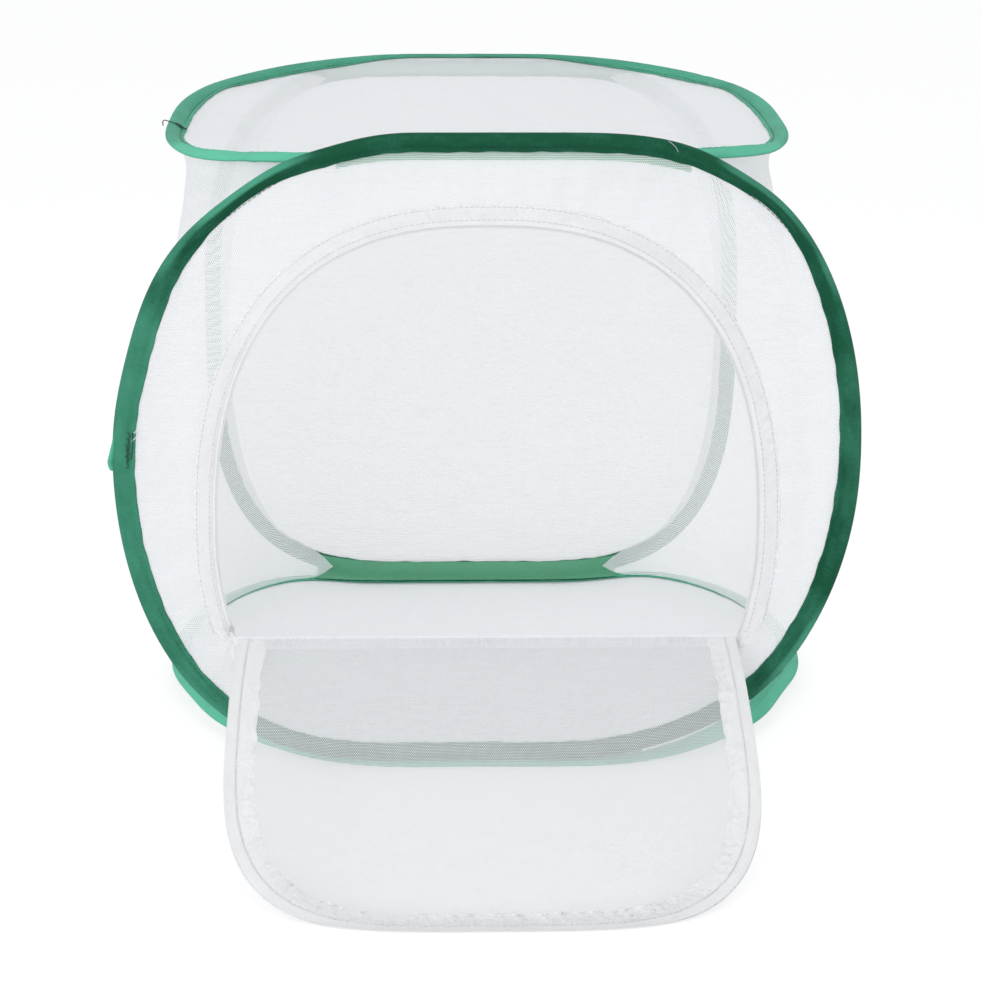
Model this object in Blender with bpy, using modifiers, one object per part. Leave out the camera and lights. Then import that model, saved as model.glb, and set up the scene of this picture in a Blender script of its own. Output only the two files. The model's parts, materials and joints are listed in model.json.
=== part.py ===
"""Pop-up insect cage: four sprung hoops in green binding, white mesh walls and a zipped door.

The cage stands on z = 0 with its origin at the middle of the floor panel.
X runs across the door, +Y runs from the door to the back wall and +Z is up.
Lengths are in metres.
"""

import math

import bmesh
import bpy
import numpy as np
from mathutils import Matrix, Vector

# The standing cage, measured over its bindings
CAGE_HEIGHT = 0.3755
CAGE_DEPTH = 0.380
FRONT_WIDTH = 0.425
BACK_WIDTH_SHARE = 0.8727
TOP_WIDTH_SHARE = 0.8875
BASE_WIDTH_SHARE = 0.9487

# The cage leans a little: how far each hoop's middle stands to the side of the front one's
BACK_SHIFT = -0.0021
TOP_SHIFT = -0.0032
BASE_SHIFT = 0.0033

# A hoop's outline: a straight run in the middle of its sewn edges, then two powers of a rounded square,
# first for the corners at +u +v and -u -v, then for the two others
STRAIGHT_RUN = 0.080
FRONT_POWERS = ((2.9, 2.08), (2.42, 2.0))
BACK_POWERS = ((2.9, 3.1), (2.9, 3.1))
TOP_POWERS = ((1.95, 2.95), (1.95, 2.95))
BASE_POWERS = ((2.35, 2.1), (2.35, 2.1))
HOOP_POINTS = 60
FINE_STEPS = 1500

# The hoops are pulled into a saddle by the side walls: how far their sides can sink into the cage
TOP_SAG_FRONT = 0.038
TOP_SAG_BACK = 0.0085
BASE_LIFT_FRONT = 0.009
BASE_LIFT_BACK = 0.012

# Rise for run that they keep to by the edge on which the fold closes, so that it can close
FOLD_SLOPE_SHARE = 0.14

# Binding: tape folded over the wire and stitched down along its inner edge
BINDING_WIDTH = 0.0108
BINDING_THICKNESS = 0.0040
BINDING_MOUTH = 0.0021
BINDING_WALL = 0.0005
BINDING_SHOULDER = 0.0052
BINDING_NOSE = 0.0006
NOSE_SHARE = 0.875

# Flat spring wire, its two ends held in a crimped ferrule
WIRE_WIDTH = 0.0036
WIRE_THICKNESS = 0.0008
WIRE_DEPTH = 0.0019
WIRE_END_GAP = 0.0010
FERRULE_LENGTH = 0.0140
FERRULE_WALL = 0.0003
FERRULE_GAP = 0.00025

# Seams and clearances
CLEARANCE = 0.0003
SEAM_GAP = 0.00055
MESH_THICKNESS = 0.0005
PANEL_TUCK = 0.0066
PANEL_SLOPE = 0.022
SADDLE_SHARES = (0.84, 0.60, 0.34, 0.12)
STRIP_LENGTH = 0.200
STRIP_LEG = 0.0080
STRIP_STATIONS = 13
STRIP_THICKNESS = 0.0005

# Side walls, from the end of one sewn stretch to the next
WALL_START = 0.107
WALL_TUCK = 0.0082
WALL_CELLS = 14
CORNER_SHARE = 0.14
WALL_EASING = 24

# Door: a flap cut out of the front panel along the zip, folding on its lower edge
FOLD_OVER_RIM = 0.03665
DOOR_HEADROOM = 0.0485
DOOR_WIDTH_SHARE = 0.706
FOLD_WIDTH_SHARE = 0.960
WAIST_SHARE = 0.250
DOOR_POWERS = (3.0, 3.0)
DOOR_POINTS = 44
DOOR_BILLOW = 0.0045
FOLD_GAP = 0.0006
FOOT_STEP = 0.004
DOOR_BELLY_SHARES = ((0.86, 0.6), (0.55, 1.0))

# Zip: coil on the edge of a woven tape, with the hem of the mesh on its other face
COIL_WIDTH = 0.00215
COIL_HEIGHT = 0.0015
COIL_HALF_GAP = 0.00015
TAPE_INSET = 0.0006
TAPE_WIDTH = 0.0124
TAPE_THICKNESS = 0.0005
HEM_INSET = 0.0042
FRAME_HEM_WIDTH = 0.0093
DOOR_HEM_WIDTH = 0.0120
HEM_THICKNESS = 0.0005
STUB_LENGTH = 0.0275
STUB_HALF_WIDTH = 0.0042
STUB_TAPE_REACH = 0.0120
STUB_CORNER_CUT = 0.0105
STOP_LENGTH = 0.0030
STOP_WIDTH = 0.0030
STOP_HEIGHT = 0.0012

# Slider and its pull
SLIDER_LENGTH = 0.0090
SLIDER_WIDTH = 0.0074
SLIDER_TAIL_WIDTH = 0.0062
SLIDER_PLATE = 0.0008
SLIDER_FLANGE = 0.0008
SLIDER_BELOW_FOLD = 0.0220
SLIDER_EDGE_BEVEL = 0.0002
SLIDER_SHOULDER_SHARE = 0.2
SLIDER_CORNER_SHARE = 0.7
SLIDER_FRONT_SHARE = 0.6
BRIDGE_LENGTH = 0.0014
BRIDGE_SHARE = 0.4
BRIDGE_WIDTH = 0.0007
LUG_GAP = 0.0030
LUG_THICKNESS = 0.0008
LUG_LENGTH = 0.0024
PIN_RADIUS = 0.0005
PIN_RISE = 0.0015
PULL_LENGTH = 0.0200
PULL_WIDTH = 0.0050
PULL_NECK = 0.0024
PULL_THICKNESS = 0.0008
PULL_HOLE_RADIUS = 0.0010
KNUCKLE_RADIUS = 0.0012
KNUCKLE_REACH_SHARE = 0.8
ROUND_SIDES = 16

# Loose end of the binding tape on the front hoop
TAB_LENGTH = 0.021
TAB_WIDTH = 0.0100
TAB_REACH = 0.0042
TAB_HEIGHT = 0.186
TAB_THICKNESS = 0.0005

# One overrun for pieces that are joined or cut
OVERRUN = 0.0002

BACK_WIDTH = FRONT_WIDTH * BACK_WIDTH_SHARE
TOP_WIDTH = FRONT_WIDTH * TOP_WIDTH_SHARE
BASE_WIDTH = FRONT_WIDTH * BASE_WIDTH_SHARE
DOOR_WIDTH = FRONT_WIDTH * DOOR_WIDTH_SHARE
FOLD_WIDTH = DOOR_WIDTH * FOLD_WIDTH_SHARE
HALF_DEPTH = CAGE_DEPTH / 2
HALF_BINDING = BINDING_THICKNESS / 2
HALF_SHEET = MESH_THICKNESS / 2
UPRIGHT_HALF = CAGE_HEIGHT / 2 - BINDING_THICKNESS - SEAM_GAP

GREEN = (0.022, 0.162, 0.082, 1.0)
GREEN_TRIM = (0.040, 0.215, 0.125, 1.0)
MESH_WHITE = (0.800, 0.810, 0.830, 1.0)
HEM_WHITE = (0.780, 0.785, 0.800, 1.0)
ZIP_WHITE = (0.740, 0.750, 0.770, 1.0)
SPRING_STEEL = (0.420, 0.430, 0.450, 1.0)
CRIMP_STEEL = (0.560, 0.570, 0.580, 1.0)


def clear_scene():
    """Remove every object of the start file."""
    for item in list(bpy.data.objects):
        bpy.data.objects.remove(item, do_unlink=True)


def new_collection(name):
    """Make a collection under the scene's own."""
    collection = bpy.data.collections.new(name)
    bpy.context.scene.collection.children.link(collection)
    return collection


clear_scene()
CAGE = new_collection("insect_cage")
GUIDES = new_collection("guides")


def material(name, colour, roughness, metallic=0.0):
    """Make a plain Principled material."""
    made = bpy.data.materials.new(name)
    made.use_nodes = True
    shader = made.node_tree.nodes["Principled BSDF"]
    shader.inputs["Base Color"].default_value = colour
    shader.inputs["Roughness"].default_value = roughness
    shader.inputs["Metallic"].default_value = metallic
    made.diffuse_color = colour
    return made


def dress(item, colour, roughness, metallic=0.0):
    """Give a piece its own material."""
    item.data.materials.append(material(item.name, colour, roughness, metallic))
    return item


def link(name, data, collection=None):
    """Make an object from its data and put it in the cage's collection."""
    item = bpy.data.objects.new(name, data)
    (collection or CAGE).objects.link(item)
    return item


def axis_empty(name, place, matrix=None):
    """An empty on a joint's axis, which carries the pieces that turn on it."""
    empty = link(name, None, GUIDES)
    empty.matrix_world = Matrix.Translation(place) @ (matrix or Matrix.Identity(4))
    return empty


def hang_on(item, carrier, frame):
    """Place a piece by the frame that it was modelled in and parent it to its carrier."""
    bpy.context.view_layer.update()
    item.parent = carrier
    item.matrix_parent_inverse = carrier.matrix_world.inverted()
    item.matrix_world = frame
    return item


def spline(data, points, cyclic, flat):
    """Add one straight-sided spline to a curve."""
    line = data.splines.new("POLY")
    line.points.add(len(points) - 1)
    for target, point in zip(line.points, points):
        height = 0.0 if flat else point[2]
        target.co = (point[0], point[1], height, 1.0)
    line.use_cyclic_u = cyclic


def profile_guide(name, section):
    """A closed cross-section for sweeping: depth in from the rim, and height out of the cage."""
    data = bpy.data.curves.new(name, "CURVE")
    data.dimensions = "2D"
    spline(data, section, True, True)
    guide = link(name, data, GUIDES)
    guide.hide_render = True
    guide.display_type = "WIRE"
    return guide


def sweep(name, path, section, cyclic):
    """Sweep a closed section along a path of points, keeping it upright."""
    data = bpy.data.curves.new(name, "CURVE")
    data.dimensions = "3D"
    data.twist_mode = "Z_UP"
    data.bevel_mode = "OBJECT"
    data.bevel_object = profile_guide(name + "_section", section)
    data.use_fill_caps = not cyclic
    spline(data, path, cyclic, False)
    return as_mesh(link(name, data))


def flat_piece(name, outlines, thickness, lift=0.0):
    """A flat piece with the given outlines, its middle plane lifted out of the cage."""
    data = bpy.data.curves.new(name, "CURVE")
    data.dimensions = "2D"
    data.fill_mode = "BOTH"
    data.extrude = thickness / 2
    for outline in outlines:
        spline(data, outline, True, True)
    item = link(name, data)
    return item, Matrix.Translation((0.0, 0.0, lift))


def as_mesh(item):
    """Turn a curve object into a welded mesh object with the same name."""
    name = item.name
    depsgraph = bpy.context.evaluated_depsgraph_get()
    mesh = bpy.data.meshes.new_from_object(item.evaluated_get(depsgraph))
    bpy.data.objects.remove(item, do_unlink=True)
    work = bmesh.new()
    work.from_mesh(mesh)
    bmesh.ops.remove_doubles(work, verts=work.verts, dist=CLEARANCE / 10)
    bmesh.ops.recalc_face_normals(work, faces=work.faces)
    work.to_mesh(mesh)
    work.free()
    return link(name, mesh)


def sheet_piece(name, points, faces, thickness):
    """A sheet of cloth from its middle surface, given a thickness both ways."""
    mesh = bpy.data.meshes.new(name)
    mesh.from_pydata([tuple(point) for point in points], [], faces)
    mesh.update()
    item = link(name, mesh)
    wall = item.modifiers.new("thickness", "SOLIDIFY")
    wall.thickness = thickness
    wall.offset = 0.0
    wall.use_even_offset = True
    return item


def evenly(line, count, closed):
    """Points at even distances along a dense line, and the way along it at each."""
    if closed:
        line = np.vstack((line, line[:1]))
    steps = np.linalg.norm(np.diff(line, axis=0), axis=1)
    travelled = np.concatenate(([0.0], np.cumsum(steps)))
    places = (np.arange(count) + 0.5) / count if closed else np.linspace(0.0, 1.0, count)
    stations = places * travelled[-1]
    columns = [np.interp(stations, travelled, line[:, k]) for k in range(line.shape[1])]
    return np.column_stack(columns)


def right_hand_normals(points, closed):
    """Unit normals on the right of the way along a flat line."""
    if closed:
        way = np.roll(points, -1, axis=0) - np.roll(points, 1, axis=0)
    else:
        way = np.gradient(points, axis=0)
    way = way / np.linalg.norm(way, axis=1)[:, None]
    return np.column_stack((way[:, 1], -way[:, 0]))


def rounded_quarter(half_width, half_height, run, powers):
    """A quarter of a rounded square, from the middle of its top edge to the middle of its side."""
    turn = np.linspace(0.0, math.pi / 2, FINE_STEPS)
    across = run + (half_width - run) * np.sin(turn) ** (2 / powers[0])
    along = half_height * np.maximum(np.cos(turn), 0.0) ** (2 / powers[1])
    return np.vstack(([[0.0, half_height]], np.column_stack((across, along))))


def soft_least(length, limit):
    """The length while it is small, and the limit once it is large."""
    return length / math.sqrt(1.0 + (length / limit) ** 2)


class Hoop:
    """A hoop in its own plane: u across, v along, w out of the cage."""

    def __init__(self, name, width, half_height, powers, shift, frame):
        self.name = name
        self.half_width = width / 2
        self.half_height = half_height
        self.powers = powers
        self.shift = shift
        self.frame = Matrix.Translation((shift, 0.0, 0.0)) @ frame
        self.neighbours = None
        first, second = [rounded_quarter(self.half_width, half_height, STRAIGHT_RUN / 2, pair) for pair in powers]
        right = np.vstack((first, second[-2::-1] * (1, -1)))
        left = np.vstack((first * (-1, -1), second[-2::-1] * (-1, 1)))
        self.rim = evenly(np.vstack((right, left[1:-1])), HOOP_POINTS, True)
        self.inward = right_hand_normals(self.rim, True)

    def fall(self, across, edge):
        """How far the rim has left its straight run at the +v or -v edge, at a place across the cage."""
        u = across - self.shift
        powers = self.powers[0 if u * edge > 0 else 1]
        run = STRAIGHT_RUN / 2
        share = min(max((abs(u) - run) / (self.half_width - run), 0.0), 1.0)
        return self.half_height * (1.0 - (1.0 - share ** powers[0]) ** (1 / powers[1]))

    def sag(self, across, along):
        """How far this hoop sinks into the cage, following the hoops that it is sewn to."""
        if self.neighbours is None:
            return 0.0
        share = min(max(0.5 + along / (2 * self.half_height), 0.0), 1.0)
        at_low, at_high = [self.sag_by(across + self.shift, *neighbour) for neighbour in self.neighbours]
        return at_low * (1.0 - share) + at_high * share

    def sag_by(self, across, hoop, edge, limit, closing):
        """The sag by one of the sewn edges, which stays shallow where the fold closes on it."""
        room = hoop.fall(across, edge)
        if closing:
            room = min(room, self.fall(across, 1) * FOLD_SLOPE_SHARE)
        return soft_least(room, limit)

    def inset(self, depth):
        """The hoop's outline moved in by a depth."""
        return self.rim + self.inward * depth

    def path(self):
        """The outer rim in space, with its sag."""
        return [(u, v, -self.sag(u, v)) for u, v in self.rim]

    def sewn(self, depth, lift):
        """Points at a depth in from the rim and a lift out of the cage, square to the binding."""
        rim = np.array(self.path())
        way = np.roll(rim, -1, axis=0) - np.roll(rim, 1, axis=0)
        inward = np.column_stack((self.inward, np.zeros(HOOP_POINTS)))
        out = np.cross(inward, way)
        out = out / np.linalg.norm(out, axis=1)[:, None]
        out = out * np.sign(out[:, 2])[:, None]
        return rim + inward * depth + out * lift


def turned(place, x_turn, z_turn=0.0):
    """The frame of a hoop: its middle, and how it is turned."""
    turn = Matrix.Rotation(z_turn, 4, "Z") @ Matrix.Rotation(x_turn, 4, "X")
    return Matrix.Translation(place) @ turn


QUARTER = math.pi / 2
FRONT = Hoop("front", FRONT_WIDTH, UPRIGHT_HALF, FRONT_POWERS, 0.0,
             turned((0.0, -HALF_DEPTH + HALF_BINDING, CAGE_HEIGHT / 2), QUARTER))
BACK = Hoop("back", BACK_WIDTH, UPRIGHT_HALF, BACK_POWERS, BACK_SHIFT,
            turned((0.0, HALF_DEPTH - HALF_BINDING, CAGE_HEIGHT / 2), QUARTER, math.pi))
TOP = Hoop("top", TOP_WIDTH, HALF_DEPTH, TOP_POWERS, TOP_SHIFT,
           turned((0.0, 0.0, CAGE_HEIGHT - HALF_BINDING), 0.0))
BASE = Hoop("base", BASE_WIDTH, HALF_DEPTH, BASE_POWERS, BASE_SHIFT,
            turned((0.0, 0.0, HALF_BINDING), math.pi))
TOP.neighbours = ((FRONT, 1, TOP_SAG_FRONT, False), (BACK, 1, TOP_SAG_BACK, True))
BASE.neighbours = ((BACK, -1, BASE_LIFT_BACK, False), (FRONT, -1, BASE_LIFT_FRONT, True))

# The door folds at a set height over the rim beside the zip's tail, so that the tail clears the binding
FOLD_HEIGHT = BINDING_THICKNESS + SEAM_GAP + FRONT.fall(FOLD_WIDTH / 2 + STUB_TAPE_REACH, -1) + FOLD_OVER_RIM
DOOR_LENGTH = CAGE_HEIGHT - FOLD_HEIGHT - DOOR_HEADROOM
WAIST_RISE = DOOR_LENGTH * WAIST_SHARE

# The four sewn edges are the pivots of the fold
FRONT_BASE_AXIS = Vector((0.0, -HALF_DEPTH + BINDING_THICKNESS, BINDING_THICKNESS + SEAM_GAP))
BACK_BASE_AXIS = Vector((0.0, HALF_DEPTH, BINDING_THICKNESS))
FRONT_TOP_AXIS = Vector((0.0, -HALF_DEPTH, CAGE_HEIGHT - BINDING_THICKNESS))
DOOR_AXIS = Vector((0.0, -HALF_DEPTH + HALF_BINDING, FOLD_HEIGHT))


def binding_section():
    """The folded tape: closed at the rim, open at the mouth where the mesh goes in."""
    half = HALF_BINDING
    nose = half * NOSE_SHARE
    outer = [(BINDING_WIDTH, BINDING_MOUTH / 2), (BINDING_SHOULDER, half), (BINDING_NOSE, nose), (0.0, 0.0)]
    mirrored = [(depth, -height) for depth, height in outer[-2::-1]]
    wall = BINDING_WALL
    pocket_end = BINDING_NOSE + wall - CLEARANCE / 2
    inner = [(BINDING_WIDTH, -BINDING_MOUTH / 2 + wall), (BINDING_SHOULDER, -half + wall), (pocket_end, -nose + wall)]
    returned = [(depth, -height) for depth, height in inner[::-1]]
    return outer + mirrored + inner + returned


def wire_section():
    """The flat wire, lying a little in from the fold of its binding."""
    near, far = WIRE_DEPTH, WIRE_DEPTH + WIRE_WIDTH
    half = WIRE_THICKNESS / 2
    return [(far, half), (near, half), (near, -half), (far, -half)]


def side_segment():
    """The rim's segment at the middle of the +u side, where the wire's ends meet."""
    return HOOP_POINTS // 4 - 1, HOOP_POINTS // 4


def make_wire(hoop, carrier):
    """The hoop's spring wire, cut open inside its ferrule."""
    path = [Vector(point) for point in hoop.path()]
    before, after = side_segment()
    middle = (path[before] + path[after]) / 2
    way = (path[after] - path[before]).normalized() * (WIRE_END_GAP / 2)
    opened = [middle + way] + path[after:] + path[:after] + [middle - way]
    item = sweep(hoop.name + "_hoop_wire", opened, wire_section(), False)
    hang_on(item, carrier, hoop.frame)
    return dress(item, SPRING_STEEL, 0.35, 1.0)


def rectangle(half_x, half_y):
    """Corners of a rectangle about the middle."""
    return [(half_x, half_y), (-half_x, half_y), (-half_x, -half_y), (half_x, -half_y)]


def make_ferrule(hoop, carrier):
    """The crimped sleeve on the wire's two ends."""
    inner_x = WIRE_WIDTH / 2 + FERRULE_GAP
    inner_y = WIRE_THICKNESS / 2 + FERRULE_GAP
    outlines = [rectangle(inner_x + FERRULE_WALL, inner_y + FERRULE_WALL), rectangle(inner_x, inner_y)]
    item, _ = flat_piece(hoop.name + "_hoop_ferrule", outlines, FERRULE_LENGTH)
    path = [Vector(point) for point in hoop.path()]
    before, after = side_segment()
    along = (path[after] - path[before]).normalized()
    inward = Vector((-1.0, 0.0, 0.0))
    out = along.cross(inward).normalized()
    middle = (path[before] + path[after]) / 2 + inward * (WIRE_DEPTH + WIRE_WIDTH / 2)
    local = Matrix((inward, out, inward.cross(out))).transposed().to_4x4()
    hang_on(item, carrier, hoop.frame @ Matrix.Translation(middle) @ local)
    return dress(item, CRIMP_STEEL, 0.4, 1.0)


def make_binding(hoop, carrier):
    """The hoop's green binding."""
    item = sweep(hoop.name + "_binding", hoop.path(), binding_section(), True)
    hang_on(item, carrier, hoop.frame)
    return dress(item, GREEN, 0.6)


def make_hoop(hoop, carrier):
    """One hoop: its wire, the ferrule on the wire and the binding over both."""
    make_wire(hoop, carrier)
    make_ferrule(hoop, carrier)
    make_binding(hoop, carrier)


def pairs_across(count):
    """Rim points that face each other across the hoop, from the +u side to the -u side."""
    quarter = count // 4
    return [((quarter - 1 - k) % count, (quarter + k) % count) for k in range(count // 2)]


def ring_faces(first, second, count):
    """Quads between two closed rings of points."""
    faces = []
    for k in range(count):
        after = (k + 1) % count
        faces.append((first + k, first + after, second + after, second + k))
    return faces


def ladder_faces(start, count):
    """Quads that close a ring, each between two facing pairs."""
    rungs = pairs_across(count)
    faces = []
    for (a, b), (c, d) in zip(rungs, rungs[1:]):
        faces.append((start + a, start + b, start + d, start + c))
    return faces


def skin_height(u, v, rim):
    """Height of a skin stretched in a rim, at a place inside it."""
    spokes = [Vector((x - u, y - v)) for x, y, height in rim]
    halves = [math.tan(spokes[k].angle(spokes[k - 1]) / 2) for k in range(len(spokes))]
    weights = [(halves[k] + halves[(k + 1) % len(halves)]) / spokes[k].length for k in range(len(spokes))]
    return sum(weight * point[2] for weight, point in zip(weights, rim)) / sum(weights)


def closed_panel(name, hoop, carrier, rings):
    """A panel through rings of points, closed across the last one."""
    points = [tuple(point) for ring in rings for point in ring]
    faces = []
    for k in range(len(rings) - 1):
        faces += ring_faces(k * HOOP_POINTS, (k + 1) * HOOP_POINTS, HOOP_POINTS)
    faces += ladder_faces((len(rings) - 1) * HOOP_POINTS, HOOP_POINTS)
    item = sheet_piece(name, points, faces, MESH_THICKNESS)
    hang_on(item, carrier, hoop.frame)
    return dress(item, MESH_WHITE, 0.7)


def held_rings(hoop):
    """The rings on which a panel comes out of its binding's mouth."""
    return [hoop.sewn(PANEL_TUCK, 0.0), hoop.sewn(BINDING_WIDTH + SEAM_GAP, 0.0)]


def resting_panel(name, hoop, carrier, belly_lift):
    """A panel held in its binding, and eased to the ground across the middle."""
    belly = [(u, v, belly_lift - hoop.sag(u, v)) for u, v in hoop.inset(BINDING_WIDTH + PANEL_SLOPE)]
    return closed_panel(name, hoop, carrier, held_rings(hoop) + [belly])


def stretched_panel(name, hoop, carrier):
    """A panel held in its binding, and stretched as a saddle between the rim's high and low places."""
    rings = held_rings(hoop)
    rim = rings[-1]
    for share in SADDLE_SHARES:
        rings.append([(u * share, v * share, skin_height(u * share, v * share, rim)) for u, v, w in rim])
    return closed_panel(name, hoop, carrier, rings)


def make_back_panel(carrier):
    """The back wall."""
    item, lift = flat_piece("back_panel", [BACK.inset(PANEL_TUCK)], MESH_THICKNESS)
    hang_on(item, carrier, BACK.frame @ lift)
    return dress(item, MESH_WHITE, 0.7)


FOLD_V = FOLD_HEIGHT - CAGE_HEIGHT / 2


def arch_half_width(above_fold):
    """Half the door's width at a height above the fold, up to its waist."""
    rise = above_fold / WAIST_RISE
    return DOOR_WIDTH / 2 - (DOOR_WIDTH - FOLD_WIDTH) / 2 * (1.0 - rise) ** 2


def door_arch():
    """The line on which the zip closes, from the fold's +u end over the top to its -u end."""
    waist = FOLD_V + WAIST_RISE
    quarter = rounded_quarter(DOOR_WIDTH / 2, DOOR_LENGTH - WAIST_RISE, 0.0, DOOR_POWERS)[1:]
    upper = quarter[::-1] + (0.0, waist)
    rise = np.linspace(0.0, WAIST_RISE, FINE_STEPS)
    lower = np.column_stack((arch_half_width(rise), FOLD_V + rise))
    right = np.vstack((lower[:-1], upper))
    whole = np.vstack((right, right[-2::-1] * (-1, 1)))
    points = evenly(whole, DOOR_POINTS, False)
    outward = right_hand_normals(points, False)
    outward[0] = (1.0, 0.0)
    outward[-1] = (-1.0, 0.0)
    return points, outward


ARCH, ARCH_OUTWARD = door_arch()


def arch_at(offset):
    """The zip's line moved out onto the front panel, or in onto the door when negative."""
    return [tuple(point) for point in ARCH + ARCH_OUTWARD * offset]


def raised(points, low):
    """Arch points kept above a height, for pieces that start clear of the fold."""
    return [(u, max(v, low)) for u, v in points]


STUB_U = FOLD_WIDTH / 2
STUB_V = FOLD_V - STUB_LENGTH
STUB_TOP = FOLD_V - FOLD_GAP


def make_front_panel(carrier):
    """The front panel round the door, with a slot under the fold for the parked end of the zip."""
    notch_low = STUB_V - CLEARANCE
    inner = arch_at(HEM_INSET)
    left = inner[-1][0]
    edge = STUB_U + STUB_HALF_WIDTH
    notch = [
        (left, STUB_TOP),
        (STUB_U - STUB_HALF_WIDTH, STUB_TOP),
        (STUB_U - STUB_HALF_WIDTH, notch_low),
        (edge, notch_low),
    ]
    item, lift = flat_piece("front_panel", [FRONT.inset(PANEL_TUCK), inner + notch], MESH_THICKNESS)
    hang_on(item, carrier, FRONT.frame @ lift)
    return dress(item, MESH_WHITE, 0.7)


def arch_band(near, far, low):
    """The outline of a band along the arch, cut off above a height."""
    return raised(arch_at(far), low) + raised(arch_at(near), low)[::-1]


HEM_LIFT = HALF_SHEET + CLEARANCE + HEM_THICKNESS / 2
TAPE_LIFT = -(HALF_SHEET + CLEARANCE + TAPE_THICKNESS / 2)
COIL_LIFT = -HALF_SHEET + COIL_HEIGHT / 2


def arch_piece(name, outlines, thickness, lift, carrier, colour):
    """One flat piece of the door or its frame, modelled in the closed front plane."""
    item, shift = flat_piece(name, outlines, thickness, lift)
    hang_on(item, carrier, FRONT.frame @ shift)
    return dress(item, colour, 0.75)


def make_frame_rim(carrier):
    """What is sewn round the door's opening: hem, zip tape, coil and end stop."""
    hem = arch_band(HEM_INSET, HEM_INSET + FRAME_HEM_WIDTH, FOLD_V)
    arch_piece("frame_hem", [hem], HEM_THICKNESS, HEM_LIFT, carrier, HEM_WHITE)
    far = TAPE_INSET + TAPE_WIDTH
    stub_right = STUB_U + far
    corner = [(stub_right, STUB_V + STUB_CORNER_CUT), (stub_right - STUB_CORNER_CUT, STUB_V)]
    tape = arch_at(far)[::-1] + corner + [(STUB_U + TAPE_INSET, STUB_V)] + arch_at(TAPE_INSET)
    arch_piece("frame_zip_tape", [tape], TAPE_THICKNESS, TAPE_LIFT, carrier, ZIP_WHITE)
    outer = COIL_HALF_GAP + COIL_WIDTH
    coil = arch_at(outer)[::-1] + [(STUB_U + outer, STUB_V), (STUB_U + COIL_HALF_GAP, STUB_V)]
    coil += arch_at(COIL_HALF_GAP)
    arch_piece("frame_zip_coil", [coil], COIL_HEIGHT, COIL_LIFT, carrier, ZIP_WHITE)


def make_zip_tail(carrier):
    """The end of the door's half of the zip, sewn down below the fold where the slider parks."""
    reaches = (
        ("zip_tail_tape", TAPE_INSET, STUB_TAPE_REACH, TAPE_THICKNESS, TAPE_LIFT),
        ("zip_tail_coil", COIL_HALF_GAP, COIL_HALF_GAP + COIL_WIDTH, COIL_HEIGHT, COIL_LIFT),
    )
    top = bridge_low_v() - CLEARANCE
    for name, near, far, thickness, lift in reaches:
        right, left = STUB_U - near, STUB_U - far
        outline = [(right, STUB_V), (right, top), (left, top), (left, STUB_V)]
        arch_piece(name, [outline], thickness, lift, carrier, ZIP_WHITE)


def make_zip_stop(name, carrier, side):
    """The stop crimped on the coil's free end, by the fold's -u end."""
    rise = FOLD_GAP + (STOP_LENGTH if side > 0 else STOP_LENGTH * 2)
    low = FOLD_V + rise
    near = -arch_half_width(rise + STOP_LENGTH / 2) - side * (COIL_HALF_GAP + STOP_LENGTH / 10)
    far = near - side * STOP_WIDTH
    outline = [(near, low), (near, low + STOP_LENGTH), (far, low + STOP_LENGTH), (far, low)]
    lift = COIL_LIFT + COIL_HEIGHT / 2 + CLEARANCE + STOP_HEIGHT / 2
    return arch_piece(name, [outline], STOP_HEIGHT, lift, carrier, ZIP_WHITE)


def door_loop(inset, low):
    """A closed loop on the door: the arch moved in, then straight back along the fold."""
    rim = raised(arch_at(-inset), low)
    half_fold = rim[0][0]
    foot = [(half_fold * (2 * k / (DOOR_POINTS - 1) - 1), low) for k in range(1, DOOR_POINTS - 1)]
    return rim + foot


def make_door_panel(carrier):
    """The door's mesh: a flat rim, and a belly that hangs towards the ground when the door is open."""
    middle = np.array((0.0, FOLD_V + DOOR_LENGTH / 2))
    rim = np.array(door_loop(HEM_INSET, FOLD_V + FOLD_GAP))
    edge = np.array(door_loop(HEM_INSET + DOOR_HEM_WIDTH + SEAM_GAP, FOLD_V + FOLD_GAP + FOOT_STEP))
    loops = [(rim, 0.0), (edge, 0.0)]
    for share, depth_share in DOOR_BELLY_SHARES:
        loops.append((middle + (edge - middle) * share, DOOR_BILLOW * depth_share))
    count = len(rim)
    points = [(u, v, depth) for loop, depth in loops for u, v in loop]
    faces = []
    for k in range(len(loops) - 1):
        faces += ring_faces(k * count, (k + 1) * count, count)
    start = (len(loops) - 1) * count
    half = DOOR_POINTS
    for right in range(1, half // 2 - 1):
        left = half - 1 - right
        faces.append((start + right, start + right + 1, start + left - 1, start + left))
    faces.append(tuple(start + k for k in [0, 1, half - 2] + list(range(half - 1, count))))
    item = sheet_piece("door_panel", points, faces, MESH_THICKNESS)
    hang_on(item, carrier, FRONT.frame)
    return dress(item, MESH_WHITE, 0.7)


def make_door(carrier):
    """The door flap with its hem and its half of the zip."""
    low = FOLD_V + 3 * FOLD_GAP
    make_door_panel(carrier)
    hem = arch_band(-HEM_INSET - DOOR_HEM_WIDTH, -HEM_INSET, low)
    arch_piece("door_hem", [hem], HEM_THICKNESS, HEM_LIFT, carrier, HEM_WHITE)
    tape = arch_band(-TAPE_INSET - TAPE_WIDTH, -TAPE_INSET, low)
    arch_piece("door_zip_tape", [tape], TAPE_THICKNESS, TAPE_LIFT, carrier, ZIP_WHITE)
    coil = arch_band(-COIL_HALF_GAP - COIL_WIDTH, -COIL_HALF_GAP, low)
    arch_piece("door_zip_coil", [coil], COIL_HEIGHT, COIL_LIFT, carrier, ZIP_WHITE)
    make_zip_stop("door_zip_stop", carrier, -1)


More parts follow.
